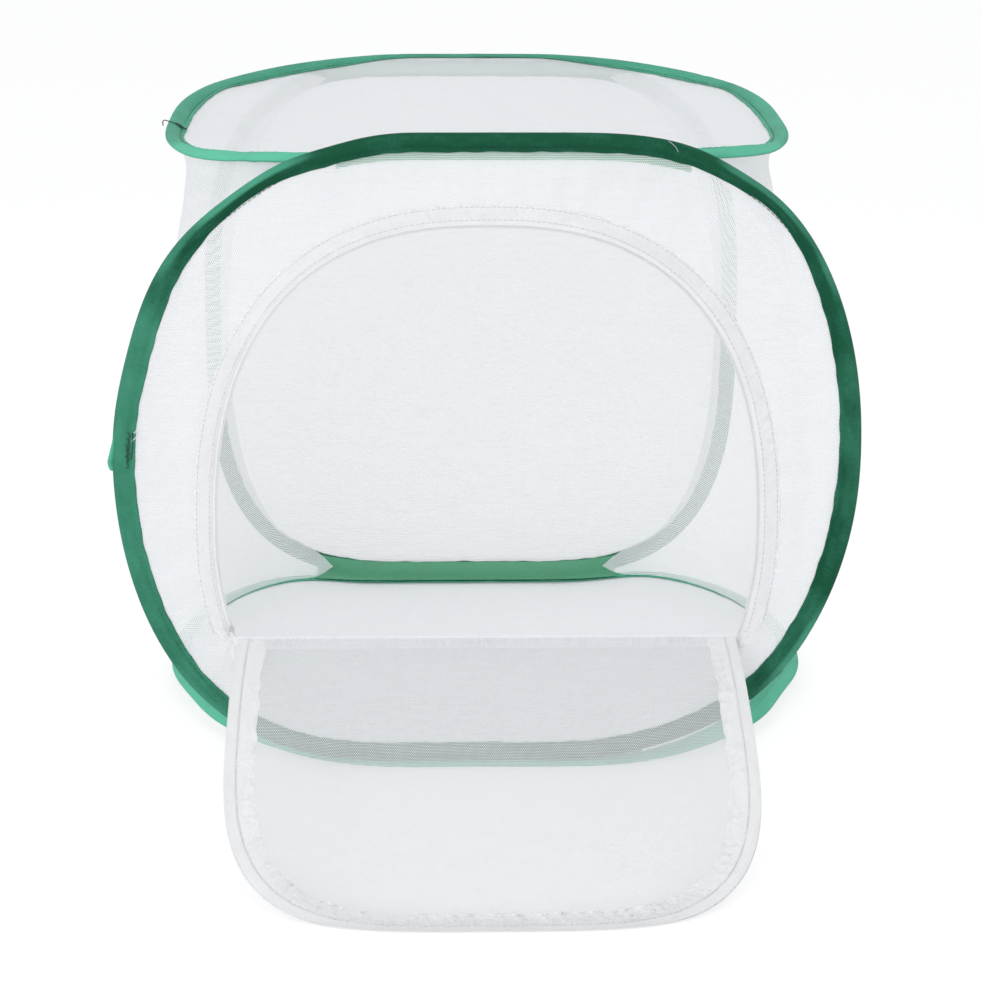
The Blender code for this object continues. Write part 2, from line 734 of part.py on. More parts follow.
def box(name, low, high):
    """A box between two corners, as a mesh object."""
    work = bmesh.new()
    bmesh.ops.create_cube(work, size=1.0)
    size = Vector(high) - Vector(low)
    middle = (Vector(high) + Vector(low)) / 2
    bmesh.ops.transform(work, matrix=Matrix.Translation(middle) @ Matrix.Diagonal((*size, 1.0)), verts=work.verts)
    mesh = bpy.data.meshes.new(name)
    work.to_mesh(mesh)
    work.free()
    return link(name, mesh)


def cylinder(name, radius, length, place):
    """A cylinder along u about a place."""
    work = bmesh.new()
    turn = Matrix.Translation(place) @ Matrix.Rotation(QUARTER, 4, "Y")
    bmesh.ops.create_cone(work, cap_ends=True, segments=ROUND_SIDES, radius1=radius, radius2=radius,
                          depth=length, matrix=turn)
    mesh = bpy.data.meshes.new(name)
    work.to_mesh(mesh)
    work.free()
    return link(name, mesh)


def combine(item, other, operation):
    """Join or cut one mesh with another, which is then kept as a hidden guide."""
    step = item.modifiers.new(other.name, "BOOLEAN")
    step.operation = operation
    step.object = other
    other.matrix_world = FRONT.frame
    CAGE.objects.unlink(other)
    GUIDES.objects.link(other)
    other.hide_render = True
    other.display_type = "WIRE"


def slider_middle_v():
    """The parked slider's middle."""
    return FOLD_V - SLIDER_BELOW_FOLD


def bridge_low_v():
    """The low side of the slider's bridge, above the crotch where the two coils meet."""
    return slider_middle_v() + SLIDER_LENGTH * BRIDGE_SHARE - BRIDGE_LENGTH


COIL_TOP = COIL_LIFT + COIL_HEIGHT / 2
COIL_LOW = COIL_LIFT - COIL_HEIGHT / 2
TAPE_LOW = TAPE_LIFT - TAPE_THICKNESS / 2
UPPER_PLATE_LOW = COIL_TOP + CLEARANCE
UPPER_PLATE_TOP = UPPER_PLATE_LOW + SLIDER_PLATE
LOWER_PLATE_TOP = TAPE_LOW - CLEARANCE
LOWER_PLATE_LOW = LOWER_PLATE_TOP - SLIDER_PLATE
PIN_W = UPPER_PLATE_TOP + PIN_RISE
PIN_V = slider_middle_v()


def plate_outline():
    """A slider plate: wide at the mouth, narrower at the tail."""
    v = slider_middle_v()
    mouth, tail = SLIDER_WIDTH / 2, SLIDER_TAIL_WIDTH / 2
    half = SLIDER_LENGTH / 2
    shoulder = half * SLIDER_SHOULDER_SHARE
    return [
        (STUB_U + mouth * SLIDER_FRONT_SHARE, v + half),
        (STUB_U - mouth * SLIDER_FRONT_SHARE, v + half),
        (STUB_U - mouth, v + shoulder),
        (STUB_U - tail, v - half * SLIDER_CORNER_SHARE),
        (STUB_U - tail * SLIDER_CORNER_SHARE, v - half),
        (STUB_U + tail * SLIDER_CORNER_SHARE, v - half),
        (STUB_U + tail, v - half * SLIDER_CORNER_SHARE),
        (STUB_U + mouth, v + shoulder),
    ]


def make_slider(carrier):
    """The slider: two plates joined by a bridge, flanges that hold the coils, and lugs for the pull."""
    v = slider_middle_v()
    half = SLIDER_LENGTH / 2
    upper, _ = flat_piece("zip_slider", [plate_outline()], SLIDER_PLATE)
    upper = as_mesh(upper)
    upper.data.transform(Matrix.Translation((0.0, 0.0, UPPER_PLATE_LOW + SLIDER_PLATE / 2)))
    lower, _ = flat_piece("slider_lower_plate", [plate_outline()], SLIDER_PLATE)
    lower = as_mesh(lower)
    lower.data.transform(Matrix.Translation((0.0, 0.0, LOWER_PLATE_LOW + SLIDER_PLATE / 2)))
    bridge_low = bridge_low_v()
    bridge = box("slider_bridge",
                 (STUB_U - COIL_HALF_GAP - BRIDGE_WIDTH, bridge_low, LOWER_PLATE_LOW + OVERRUN),
                 (STUB_U - COIL_HALF_GAP, bridge_low + BRIDGE_LENGTH, UPPER_PLATE_TOP - OVERRUN))
    combine(upper, lower, "UNION")
    combine(upper, bridge, "UNION")
    flange_in = COIL_HALF_GAP + COIL_WIDTH + CLEARANCE
    for side in (-1, 1):
        near, far = STUB_U + side * flange_in, STUB_U + side * (flange_in + SLIDER_FLANGE)
        flange = box("slider_flange",
                     (min(near, far), v - half * SLIDER_CORNER_SHARE, COIL_LOW),
                     (max(near, far), v + half * SLIDER_SHOULDER_SHARE, UPPER_PLATE_TOP - OVERRUN))
        combine(upper, flange, "UNION")
        near = STUB_U + side * LUG_GAP / 2
        far = near + side * LUG_THICKNESS
        lug = box("slider_lug",
                  (min(near, far), PIN_V - LUG_LENGTH / 2, UPPER_PLATE_TOP - OVERRUN),
                  (max(near, far), PIN_V + LUG_LENGTH / 2, PIN_W + 2 * PIN_RADIUS))
        combine(upper, lug, "UNION")
    pin = cylinder("slider_pin", PIN_RADIUS, LUG_GAP + 2 * LUG_THICKNESS - 2 * OVERRUN, (STUB_U, PIN_V, PIN_W))
    combine(upper, pin, "UNION")
    hang_on(upper, carrier, FRONT.frame)
    return dress(upper, ZIP_WHITE, 0.4)


def make_pull(carrier):
    """The pull: a knuckle on the slider's pin and a flat tab that hangs from it."""
    length = LUG_GAP - 2 * CLEARANCE
    pull = cylinder("zip_pull", KNUCKLE_RADIUS, length, (STUB_U, PIN_V, PIN_W))
    start = PIN_V - KNUCKLE_RADIUS * KNUCKLE_REACH_SHARE
    neck, half = PULL_NECK / 2, PULL_WIDTH / 2
    shoulder = start - PULL_WIDTH
    outline = [(STUB_U + neck, start), (STUB_U - neck, start), (STUB_U - half, shoulder)]
    low = PIN_V - PULL_LENGTH + half
    for k in range(ROUND_SIDES // 2 + 1):
        turn = math.pi + math.pi * k / (ROUND_SIDES // 2)
        outline.append((STUB_U + half * math.cos(turn), low + half * math.sin(turn)))
    outline.append((STUB_U + half, shoulder))
    hole = []
    for k in range(ROUND_SIDES):
        turn = 2 * math.pi * k / ROUND_SIDES
        hole.append((STUB_U + PULL_HOLE_RADIUS * math.cos(turn), low + PULL_HOLE_RADIUS * math.sin(turn)))
    tab, _ = flat_piece("pull_tab", [outline, hole], PULL_THICKNESS)
    tab = as_mesh(tab)
    tab.data.transform(Matrix.Translation((0.0, 0.0, PIN_W)))
    combine(pull, tab, "UNION")
    bore = cylinder("pull_bore", PIN_RADIUS + CLEARANCE, length + 2 * OVERRUN, (STUB_U, PIN_V, PIN_W))
    combine(pull, bore, "DIFFERENCE")
    hang_on(pull, carrier, FRONT.frame)
    return dress(pull, ZIP_WHITE, 0.4)


def make_tape_end(carrier):
    """The binding's loose end, which stands out past the front hoop on the -u side."""
    v = TAB_HEIGHT - CAGE_HEIGHT / 2
    edge = -FRONT.half_width
    outline = [
        (edge + TAB_WIDTH, v + TAB_LENGTH / 2),
        (edge + CLEARANCE, v + TAB_LENGTH / 2),
        (edge - TAB_REACH, v - TAB_LENGTH / 3),
        (edge - TAB_REACH / 2, v - TAB_LENGTH / 2),
        (edge + TAB_WIDTH, v - TAB_LENGTH / 2),
    ]
    lift = HALF_BINDING + CLEARANCE + TAB_THICKNESS / 2
    item, shift = flat_piece("binding_tape_end", [outline], TAB_THICKNESS, lift)
    hang_on(item, carrier, FRONT.frame @ shift)
    return dress(item, GREEN_TRIM, 0.6)


def make_joining_strip(name, carrier, level, at_top, at_front):
    """The tape that joins two hoops along their sewn stretch, folded into the corner between them."""
    inset = BINDING_THICKNESS + SEAM_GAP + STRIP_THICKNESS / 2
    inward = 1 if at_front else -1
    up = -1 if at_top else 1
    along = HALF_DEPTH if at_front != at_top else -HALF_DEPTH
    floor = CAGE_HEIGHT if at_top else 0.0
    wall_y = -inward * HALF_DEPTH
    half = STRIP_LENGTH / 2
    points = []
    faces = []
    for k in range(STRIP_STATIONS):
        across = -half + STRIP_LENGTH * k / (STRIP_STATIONS - 1)
        sunk = level.sag(across - level.shift, along)
        y = wall_y + inward * inset
        z = floor + up * (inset + sunk)
        reach = STRIP_LEG
        points += [(across, y, z + up * reach), (across, y, z), (across, y + inward * reach, z)]
    for k in range(STRIP_STATIONS - 1):
        a, b = 3 * k, 3 * k + 3
        faces += [(a, a + 1, b + 1, b), (a + 1, a + 2, b + 2, b + 1)]
    item = sheet_piece(name, points, faces, STRIP_THICKNESS)
    hang_on(item, carrier, Matrix.Identity(4))
    return dress(item, GREEN_TRIM, 0.65)


def inner_line(hoop, side):
    """The line on a hoop's inner face that a side wall is sewn to, from its low or front end."""
    depth = HALF_BINDING + CLEARANCE + HALF_SHEET
    points = []
    for place in hoop.sewn(WALL_TUCK, -depth):
        point = hoop.frame @ Vector(place)
        if point.x * side > 0:
            points.append(point)
    way = points[-1] - points[0]
    if way.y + way.z < 0:
        points.reverse()
    line = np.array([tuple(point) for point in trim_ends(points, WALL_START)])
    return evenly(line, WALL_CELLS + 1, False)


def trim_ends(points, start):
    """Cut a side's line back to where it leaves the sewn stretch, at both ends."""
    out = [k for k, point in enumerate(points) if abs(point.x) > start]
    ends = []
    for inside, outside in ((out[0] - 1, out[0]), (out[-1] + 1, out[-1])):
        a, b = points[inside], points[outside]
        share = (start - abs(a.x)) / (abs(b.x) - abs(a.x))
        ends.append(a.lerp(b, share))
    return [ends[0]] + points[out[0]:out[-1] + 1] + [ends[1]]


def pulled_to(line, start, end):
    """Ease a line's two ends onto the corners that it shares with its neighbours."""
    count = len(line)
    shares = np.linspace(0.0, 1.0, count)
    near = np.clip(1.0 - shares / CORNER_SHARE, 0.0, 1.0)[:, None] ** 2
    far = np.clip(1.0 - (1.0 - shares) / CORNER_SHARE, 0.0, 1.0)[:, None] ** 2
    return line + near * (start - line[0]) + far * (end - line[-1])


def between(share):
    """Nought at both ends of a run and largest in its middle."""
    return share * (1.0 - share)


def make_side_wall(name, carrier, side):
    """A side wall: one sheet sewn to all four hoops, each of its points between two lofts."""
    front, back, base, top = [inner_line(hoop, side) for hoop in (FRONT, BACK, BASE, TOP)]
    corners = {
        "front_base": (front[0] + base[0]) / 2,
        "front_top": (front[-1] + top[0]) / 2,
        "back_base": (back[0] + base[-1]) / 2,
        "back_top": (back[-1] + top[-1]) / 2,
    }
    front = pulled_to(front, corners["front_base"], corners["front_top"])
    back = pulled_to(back, corners["back_base"], corners["back_top"])
    base = pulled_to(base, corners["front_base"], corners["back_base"])
    top = pulled_to(top, corners["front_top"], corners["back_top"])
    count = WALL_CELLS + 1
    points = []
    for i in range(count):
        s = i / WALL_CELLS
        for j in range(count):
            t = j / WALL_CELLS
            along = (1 - s) * front[j] + s * back[j]
            upward = (1 - t) * base[i] + t * top[i]
            weight = between(t) + between(s)
            share = between(t) / weight if weight else 0.5
            points.append(share * along + (1 - share) * upward)
    faces = []
    for i in range(WALL_CELLS):
        for j in range(WALL_CELLS):
            a = i * count + j
            faces.append((a, a + 1, a + count + 1, a + count))
    item = sheet_piece(name, points, faces, MESH_THICKNESS)
    loose = [i * count + j for i in range(1, WALL_CELLS) for j in range(1, WALL_CELLS)]
    item.vertex_groups.new(name="loose").add(loose, 1.0, "REPLACE")
    easing = item.modifiers.new("easing", "SMOOTH")
    easing.vertex_group = "loose"
    easing.iterations = WALL_EASING
    item.modifiers.move(1, 0)
    hang_on(item, carrier, Matrix.Identity(4))
    return dress(item, MESH_WHITE, 0.7)


def open_door_turn():
    """How far the door has turned down from closed, until its hem rests just off the ground."""
    hem_depth = HEM_LIFT + HEM_THICKNESS / 2 + CLEARANCE
    slope = math.asin((FOLD_HEIGHT - hem_depth) / DOOR_LENGTH)
    return QUARTER + slope


def main():
    """Build the cage, piece by piece, on the empties that stand on its joint axes."""
    base_body = axis_empty("base_body", (0.0, 0.0, 0.0))
    front_fold = axis_empty("front_fold", FRONT_BASE_AXIS)
    back_fold = axis_empty("back_fold", BACK_BASE_AXIS)
    top_fold = axis_empty("top_fold", FRONT_TOP_AXIS)
    door_fold = axis_empty("door_fold", DOOR_AXIS)
    slider_way = axis_empty("slider_way", FRONT.frame @ Vector((STUB_U, slider_middle_v(), 0.0)))
    pull_pin = axis_empty("pull_pin", FRONT.frame @ Vector((STUB_U, PIN_V, PIN_W)))

    make_hoop(BASE, base_body)
    resting_panel("base_panel", BASE, base_body, HALF_BINDING - HALF_SHEET)
    make_side_wall("left_wall", base_body, -1)
    make_side_wall("right_wall", base_body, 1)
    make_joining_strip("front_base_joining_strip", base_body, BASE, False, True)
    make_joining_strip("back_base_joining_strip", base_body, BASE, False, False)

    make_hoop(FRONT, front_fold)
    make_front_panel(front_fold)
    make_frame_rim(front_fold)
    make_zip_tail(front_fold)
    make_zip_stop("frame_zip_stop", front_fold, 1)
    make_tape_end(front_fold)

    make_hoop(BACK, back_fold)
    make_back_panel(back_fold)

    make_hoop(TOP, top_fold)
    stretched_panel("top_panel", TOP, top_fold)
    make_joining_strip("front_top_joining_strip", top_fold, TOP, True, True)
    make_joining_strip("back_top_joining_strip", top_fold, TOP, True, False)

    make_slider(slider_way)
    make_pull(pull_pin)

    make_door(door_fold)
    bpy.context.view_layer.update()
    door_fold.rotation_euler.x = open_door_turn()
    bpy.context.view_layer.update()


main()
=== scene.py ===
"""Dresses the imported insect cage: folded green bindings, woven mesh walls, the puckered door and its zip.

Lengths are in metres, in the cage's own frame: X across the door, +Y to the back wall, +Z up.
"""

import json
import math

import bpy
import numpy as np
from mathutils import Matrix, Vector


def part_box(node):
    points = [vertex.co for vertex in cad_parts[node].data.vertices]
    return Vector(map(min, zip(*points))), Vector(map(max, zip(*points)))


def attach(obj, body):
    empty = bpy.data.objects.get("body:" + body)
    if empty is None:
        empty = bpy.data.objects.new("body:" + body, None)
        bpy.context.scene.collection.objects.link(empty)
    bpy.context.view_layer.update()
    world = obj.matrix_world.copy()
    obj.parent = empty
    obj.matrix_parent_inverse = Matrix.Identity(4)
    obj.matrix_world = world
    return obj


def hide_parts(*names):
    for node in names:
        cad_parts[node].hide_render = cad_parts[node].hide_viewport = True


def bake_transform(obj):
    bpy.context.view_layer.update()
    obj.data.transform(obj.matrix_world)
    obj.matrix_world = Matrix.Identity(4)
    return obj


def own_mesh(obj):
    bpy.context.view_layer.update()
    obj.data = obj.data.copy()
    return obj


bl_info = {
    "name": "Insect cage",
    "version": (1, 0, 0),
    "blender": (4, 5, 0),
    "location": "View3D > Sidebar > Cage",
    "description": "Pop-up insect cage with mesh walls, bound hoops and a zipped door",
    "category": "Add Mesh",
}

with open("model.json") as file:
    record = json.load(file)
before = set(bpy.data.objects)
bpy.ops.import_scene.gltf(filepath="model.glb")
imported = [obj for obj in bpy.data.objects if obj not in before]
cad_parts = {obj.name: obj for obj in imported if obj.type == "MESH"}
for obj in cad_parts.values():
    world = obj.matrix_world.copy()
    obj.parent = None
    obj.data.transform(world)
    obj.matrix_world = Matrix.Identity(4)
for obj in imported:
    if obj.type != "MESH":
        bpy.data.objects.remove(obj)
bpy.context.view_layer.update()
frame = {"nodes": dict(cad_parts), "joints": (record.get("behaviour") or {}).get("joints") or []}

CAGE_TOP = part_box("top_binding")[1].z
CAGE_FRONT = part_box("front_binding")[0].y
JOINTS = {joint["name"]: joint for joint in frame["joints"]}
FOLD_LINE = JOINTS["door"]["pos_m"][2]
PARKED_ZIP = JOINTS["zip_pull"]["pos_m"]


def length_of(name, description, default):
    """A length that the user may change."""
    return bpy.props.FloatProperty(name=name, description=description, default=default, min=0.0, unit="LENGTH",
                                   precision=4)


def colour_of(name, description, default):
    """A colour that the user may change."""
    return bpy.props.FloatVectorProperty(name=name, description=description, default=default, size=3, min=0.0,
                                         max=1.0, subtype="COLOR")


class CageSizes(bpy.types.PropertyGroup):
    """Sizes of the standing cage and of its cloth."""

    height: length_of("Height", "Top of the top hoop's binding", CAGE_TOP)
    depth: length_of("Depth", "From the front hoop to the back hoop", -2 * CAGE_FRONT)
    front_width: length_of("Front width", "Width of the front hoop", 0.425)
    back_width: length_of("Back width", "Width of the back hoop", 0.3709)
    top_width: length_of("Top width", "Width of the top hoop", 0.3772)
    base_width: length_of("Base width", "Width of the base hoop", 0.4032)
    binding_width: length_of("Binding width", "Width of the folded binding", 0.0108)
    binding_thickness: length_of("Binding thickness", "Thickness of the binding over its wire", 0.0040)
    seam_gap: length_of("Seam gap", "Air between two sewn hoops", 0.00055)
    fold_height: length_of("Fold height", "Height of the line on which the door folds", FOLD_LINE)
    opening_width: length_of("Opening width", "Widest place of the door opening, along its zip", 0.307)
    opening_length: length_of("Opening length", "From the fold to the top of the opening", 0.2370)
    flap_width: length_of("Flap width", "Widest place of the hanging door", 0.2920)
    flap_length: length_of("Flap length", "From the fold to the edge of the hanging door", 0.2510)
    fold_width: length_of("Fold width", "Length of the door's fold line", 0.2880)


class ClothSizes(bpy.types.PropertyGroup):
    """Sizes of threads, stitches and the zip."""

    rib_pitch: length_of("Rib pitch", "Spacing of the mesh's crosswise ribs", 0.00125)
    warp_pitch: length_of("Warp pitch", "Spacing of the mesh's lengthwise threads", 0.00118)
    stitch_length: length_of("Stitch length", "Length of one stitch", 0.0024)
    stitch_gap: length_of("Stitch gap", "Gap between two stitches", 0.0010)
    thread_radius: length_of("Thread radius", "Radius of the sewing thread", 0.00019)
    coil_pitch: length_of("Coil pitch", "Length of one turn of the zip's coil", 0.0013)
    coil_radius: length_of("Coil radius", "Radius of the coil's filament", 0.00028)
    weave_pitch: length_of("Weave pitch", "Spacing of the binding's threads", 0.00045)


class CageColours(bpy.types.PropertyGroup):
    """Colours of the cage's cloth, thread and metal."""

    binding: colour_of("Binding", "Green of the hoops' binding", (0.0026, 0.072, 0.033))
    # Binding light is painted light: the green that the binding is mixed toward where it faces up, is rolled over or
    # lies at a grazing angle to the camera.
    binding_light: colour_of("Binding light", "Green of the binding where its nap turns up", (0.110, 0.500, 0.330))
    joining: colour_of("Joining tape", "Green of the tapes that join the hoops", (0.120, 0.340, 0.200))
    mesh: colour_of("Mesh", "White of the mesh walls", (0.880, 0.888, 0.905))
    hem: colour_of("Hem", "White of the door's hems", (0.955, 0.955, 0.965))
    tape: colour_of("Zip tape", "White of the zip's woven tape", (0.910, 0.908, 0.910))
    # The coil's white is greyed as painted shade, so that it shows as the shaded line beside the zip's tape.
    coil: colour_of("Zip coil", "White of the zip's coil", (0.72, 0.73, 0.75))
    thread: colour_of("Dark thread", "Dark green of the sewing thread", (0.008, 0.060, 0.035))
    slider: colour_of("Slider", "White of the painted slider", (0.830, 0.835, 0.850))
    floor: colour_of("Floor", "White of the studio floor", (0.900, 0.900, 0.900))


def sizes():
    """The scene's cage sizes."""
    return bpy.context.scene.cage_sizes


def cloth():
    """The scene's cloth sizes."""
    return bpy.context.scene.cage_cloth


def colours():
    """The scene's cage colours."""
    return bpy.context.scene.cage_colours


# Outlines of the hoops, as in the solids: straight run, powers of the corners, sideways lean and sag
STRAIGHT_RUN = 0.080
HOOP_POWERS = {
    "front": ((2.9, 2.08), (2.10, 2.16)),
    "back": ((2.9, 3.1), (2.9, 3.1)),
    "top": ((1.95, 2.95), (1.95, 2.95)),
    "base": ((2.35, 2.1), (2.35, 2.1)),
}
# Dents of the sprung hoops: across, up, reach and depth
DENTS = {"front": ((-0.088, 0.170, 0.024, 0.0018), (-0.140, 0.148, 0.034, 0.0024), (-0.204, 0.060, 0.040, 0.0026),
                   (0.136, 0.155, 0.026, 0.0024), (0.160, -0.140, 0.055, -0.0034)),
         "base": ((0.195, 0.095, 0.035, 0.0045), (-0.195, 0.095, 0.035, 0.0030))}
HOOP_SHIFTS = {"front": 0.0, "back": -0.0021, "top": -0.0032, "base": 0.0033}
TOP_SAG_FRONT = 0.0315
TOP_DROP = 0.0056
TOP_SETBACK = 0.0046
TOP_BULGES = ((-0.097, 0.032, 0.0100), (0.124, 0.036, 0.0120))
TOP_SAG_BACK = 0.0085
BASE_LIFT_FRONT = 0.009
BASE_LIFT_BACK = 0.012
FOLD_SLOPE_SHARE = 0.14
HOOP_STATIONS = 720
FINE_STEPS = 3000
QUARTER = math.pi / 2

# Section of the folded tape, from its front edge over the rim to its back edge: depth in from the rim, lift
SMOOTH_SECTION = (
    (9.7, 0.35), (10.6, 0.35), (10.8, 0.62), (10.5, 0.98), (9.9, 1.02), (9.2, 0.82), (8.6, 0.55), (8.1, 0.72),
    (7.3, 1.20), (6.3, 1.62), (5.2, 1.88), (4.0, 2.00), (2.8, 1.98), (1.7, 1.82), (0.8, 1.45), (0.2, 0.80),
    (0.0, 0.0),
    (0.2, -0.80), (0.8, -1.45), (1.7, -1.82), (2.8, -1.98), (4.0, -2.00), (5.2, -1.88), (6.3, -1.62),
    (7.3, -1.20), (8.1, -0.72), (8.6, -0.55), (9.2, -0.82), (9.9, -1.02), (10.5, -0.98), (10.8, -0.62),
    (10.6, -0.35), (9.7, -0.35),
)
RIDGED_SECTION = (
    (9.7, 0.35), (10.6, 0.35), (10.8, 0.60), (10.4, 0.95), (9.8, 1.05), (9.2, 1.05), (8.6, 1.10), (8.0, 1.55),
    (7.2, 2.20), (6.5, 2.85), (5.9, 3.15), (5.1, 2.85), (4.2, 2.30), (3.2, 1.65), (2.2, 1.00), (1.0, 0.10),
    (0.0, -0.90),
    (0.2, -1.50), (0.8, -1.90), (1.7, -2.15), (2.8, -2.25), (4.0, -2.20), (5.2, -2.00), (6.3, -1.70),
    (7.3, -1.25), (8.1, -0.75), (8.6, -0.55), (9.2, -0.82), (9.9, -1.02), (10.5, -0.98), (10.8, -0.62),
    (10.6, -0.35), (9.7, -0.35),
)
MILLIMETRE = 0.001

# Where a hoop's binding rolls over its wire, so that its outer half turns toward the light and also takes a painted
# highlight: across, up, reach, amount
ROLLED = {
    "front": ((-0.133, 0.150, 0.040, 1.0), (-0.165, 0.118, 0.022, 0.5), (0.150, 0.140, 0.045, 1.0),
              (0.178, 0.105, 0.022, 0.6), (0.176, -0.118, 0.030, 0.6), (-0.150, -0.135, 0.022, 0.35)),
    "back": (),
    "top": ((-0.170, -0.135, 0.040, 1.0), (0.170, -0.135, 0.040, 1.0), (-0.120, -0.180, 0.030, 0.7),
            (0.120, -0.180, 0.030, 0.7)),
    "base": ((0.178, 0.125, 0.050, 1.0), (-0.178, 0.125, 0.050, 1.0)),
}

# How far a binding leans into the cage as it runs in from its wire, and how much broader it lies: spots as above
LEANS = {
    "top": ((-0.183, 0.020, 0.080, 0.50), (-0.125, 0.165, 0.065, 0.40), (0.183, 0.020, 0.080, 0.36),
            (0.125, 0.165, 0.065, 0.36), (-0.140, -0.165, 0.045, -0.20), (0.148, -0.165, 0.045, -0.30)),
    "base": ((-0.175, 0.130, 0.075, 0.40), (0.175, 0.130, 0.075, 0.50)),
}
BREADTHS = {
    "front": ((-0.200, 0.055, 0.075, 0.24), (-0.136, 0.148, 0.036, -0.30), (0.154, 0.136, 0.040, -0.30),
              (0.205, -0.040, 0.110, 0.20), (-0.200, -0.070, 0.060, 0.12)),
}

# Door: powers of its round top, its waist's height, and the inset, lifts and sizes of what is sewn round it
OPENING_POWER = 2.48
FLAP_POWER = 3.6
WAIST_SHARE = 0.25
ARCH_STATIONS = 420
WAIST_STATIONS = 200
FOOT_STATIONS = 160
TAPE_INSET = 0.0006
HEM_LIFT = 0.0008
DOOR_LIFT = 0.0016
TAPE_LIFT = -0.0008
COIL_WIDTH = 0.00215
COIL_HEIGHT = 0.0015
FLOOR_CLEARANCE = 0.0004
FLOOR_EASE = 0.0022
RESTING_HEIGHT = 0.0013


class Wiring:
    """Short calls for wiring a node tree."""

    def __init__(self, tree):
        self.tree = tree

    def feed(self, node, feeds):
        """Feed a node's inputs, by name or place: each from a node, from a socket or with a plain value."""
        for key, value in feeds.items():
            if isinstance(value, bpy.types.Node):
                value = value.outputs[0]
            if isinstance(value, bpy.types.NodeSocket):
                self.tree.links.new(value, node.inputs[key])
            else:
                node.inputs[key].default_value = value
        return node

    def node(self, kind, feeds=None, **settings):
        """Add a node with its settings and what feeds it."""
        made = self.tree.nodes.new(kind)
        for key, value in settings.items():
            setattr(made, key, value)
        return self.feed(made, feeds or {})

    def math(self, operation, *values, clamp=False):
        """A math node's output."""
        feeds = dict(enumerate((*values, 0.0, 0.0)[:3]))
        return self.node("ShaderNodeMath", feeds, operation=operation, use_clamp=clamp).outputs[0]

    def ramp(self, value, low, high, to_low, to_high):
        """A value mapped smoothly from one range to another."""
        feeds = {"Value": value, "From Min": low, "From Max": high, "To Min": to_low, "To Max": to_high}
        return self.node("ShaderNodeMapRange", feeds, interpolation_type="SMOOTHSTEP").outputs[0]

    def noise(self, vector, scale, detail=2.0, roughness=0.5, stretch=None):
        """A noise texture's value, where wanted on a stretched place."""
        if stretch:
            vector = self.node("ShaderNodeVectorMath", {0: vector, 1: stretch}, operation="MULTIPLY")
        feeds = {"Vector": vector, "Scale": scale, "Detail": detail, "Roughness": roughness}
        return self.node("ShaderNodeTexNoise", feeds).outputs["Fac"]

    def mixed(self, share, first, second):
        """Two colours mixed."""
        feeds = {"Factor": share, 6: (*first, 1.0), 7: (*second, 1.0)}
        return self.node("ShaderNodeMix", feeds, data_type="RGBA").outputs[2]

    def bump(self, shader, height, distance):
        """Feed a height to a shader's normal."""
        raised = self.node("ShaderNodeBump", {"Distance": distance, "Height": height})
        self.feed(shader, {"Normal": raised})

    def blended(self, share, first, second):
        """Two shaders mixed."""
        return self.node("ShaderNodeMixShader", {0: share, 1: first, 2: second})

    def surface(self, shader, end="Material Output"):
        """Show a shader."""
        self.feed(self.tree.nodes[end], {"Surface": shader})

    def seen(self):
        """What kind of ray looks at the surface."""
        return self.node("ShaderNodeLightPath").outputs


def material(name, colour, roughness, metallic=0.0):
    """A Principled material, its wiring and its shader."""
    made = bpy.data.materials.new(name)
    made.use_nodes = True
    made.diffuse_color = (*colour, 1.0)
    wiring = Wiring(made.node_tree)
    feeds = {"Base Color": (*colour, 1.0), "Roughness": roughness, "Metallic": metallic}
    return made, wiring, wiring.feed(made.node_tree.nodes["Principled BSDF"], feeds)


def group_tree(name, kind, inputs, outputs):
    """An empty node group with its sockets, as label, type and default; also its wiring and its two ends."""
    tree = bpy.data.node_groups.new(name, kind)
    for way, sockets in (("INPUT", inputs), ("OUTPUT", outputs)):
        for label, socket, *default in sockets:
            made = tree.interface.new_socket(label, in_out=way, socket_type="NodeSocket" + socket)
            if default:
                made.default_value = default[0]
    wiring = Wiring(tree)
    return tree, wiring, wiring.node("NodeGroupInput").outputs, wiring.node("NodeGroupOutput")


def effect_tree(name, defaults, outputs):
    """A shader group that turns a place, and some values, into other values."""
    floats = [(label, "Float", default) for label, default in defaults.items()]
    return group_tree(name, "ShaderNodeTree", [("Vector", "Vector"), *floats],
                      [(label, "Float") for label in outputs])


THREAD_EDGE = 0.14  # how softly a thread's cover ends, as a share of half its pitch


def thread_rows(wiring, along, pitch, share):
    """How much a row of threads covers: 1 on a thread and 0 between two."""
    place = wiring.math("FRACT", wiring.math("DIVIDE", along, pitch))
    away = wiring.math("MULTIPLY", wiring.math("ABSOLUTE", wiring.math("SUBTRACT", place, 0.5)), 2.0)
    soft, hard = wiring.math("SUBTRACT", share, THREAD_EDGE), wiring.math("ADD", share, THREAD_EDGE)
    return wiring.ramp(away, soft, hard, 1.0, 0.0)


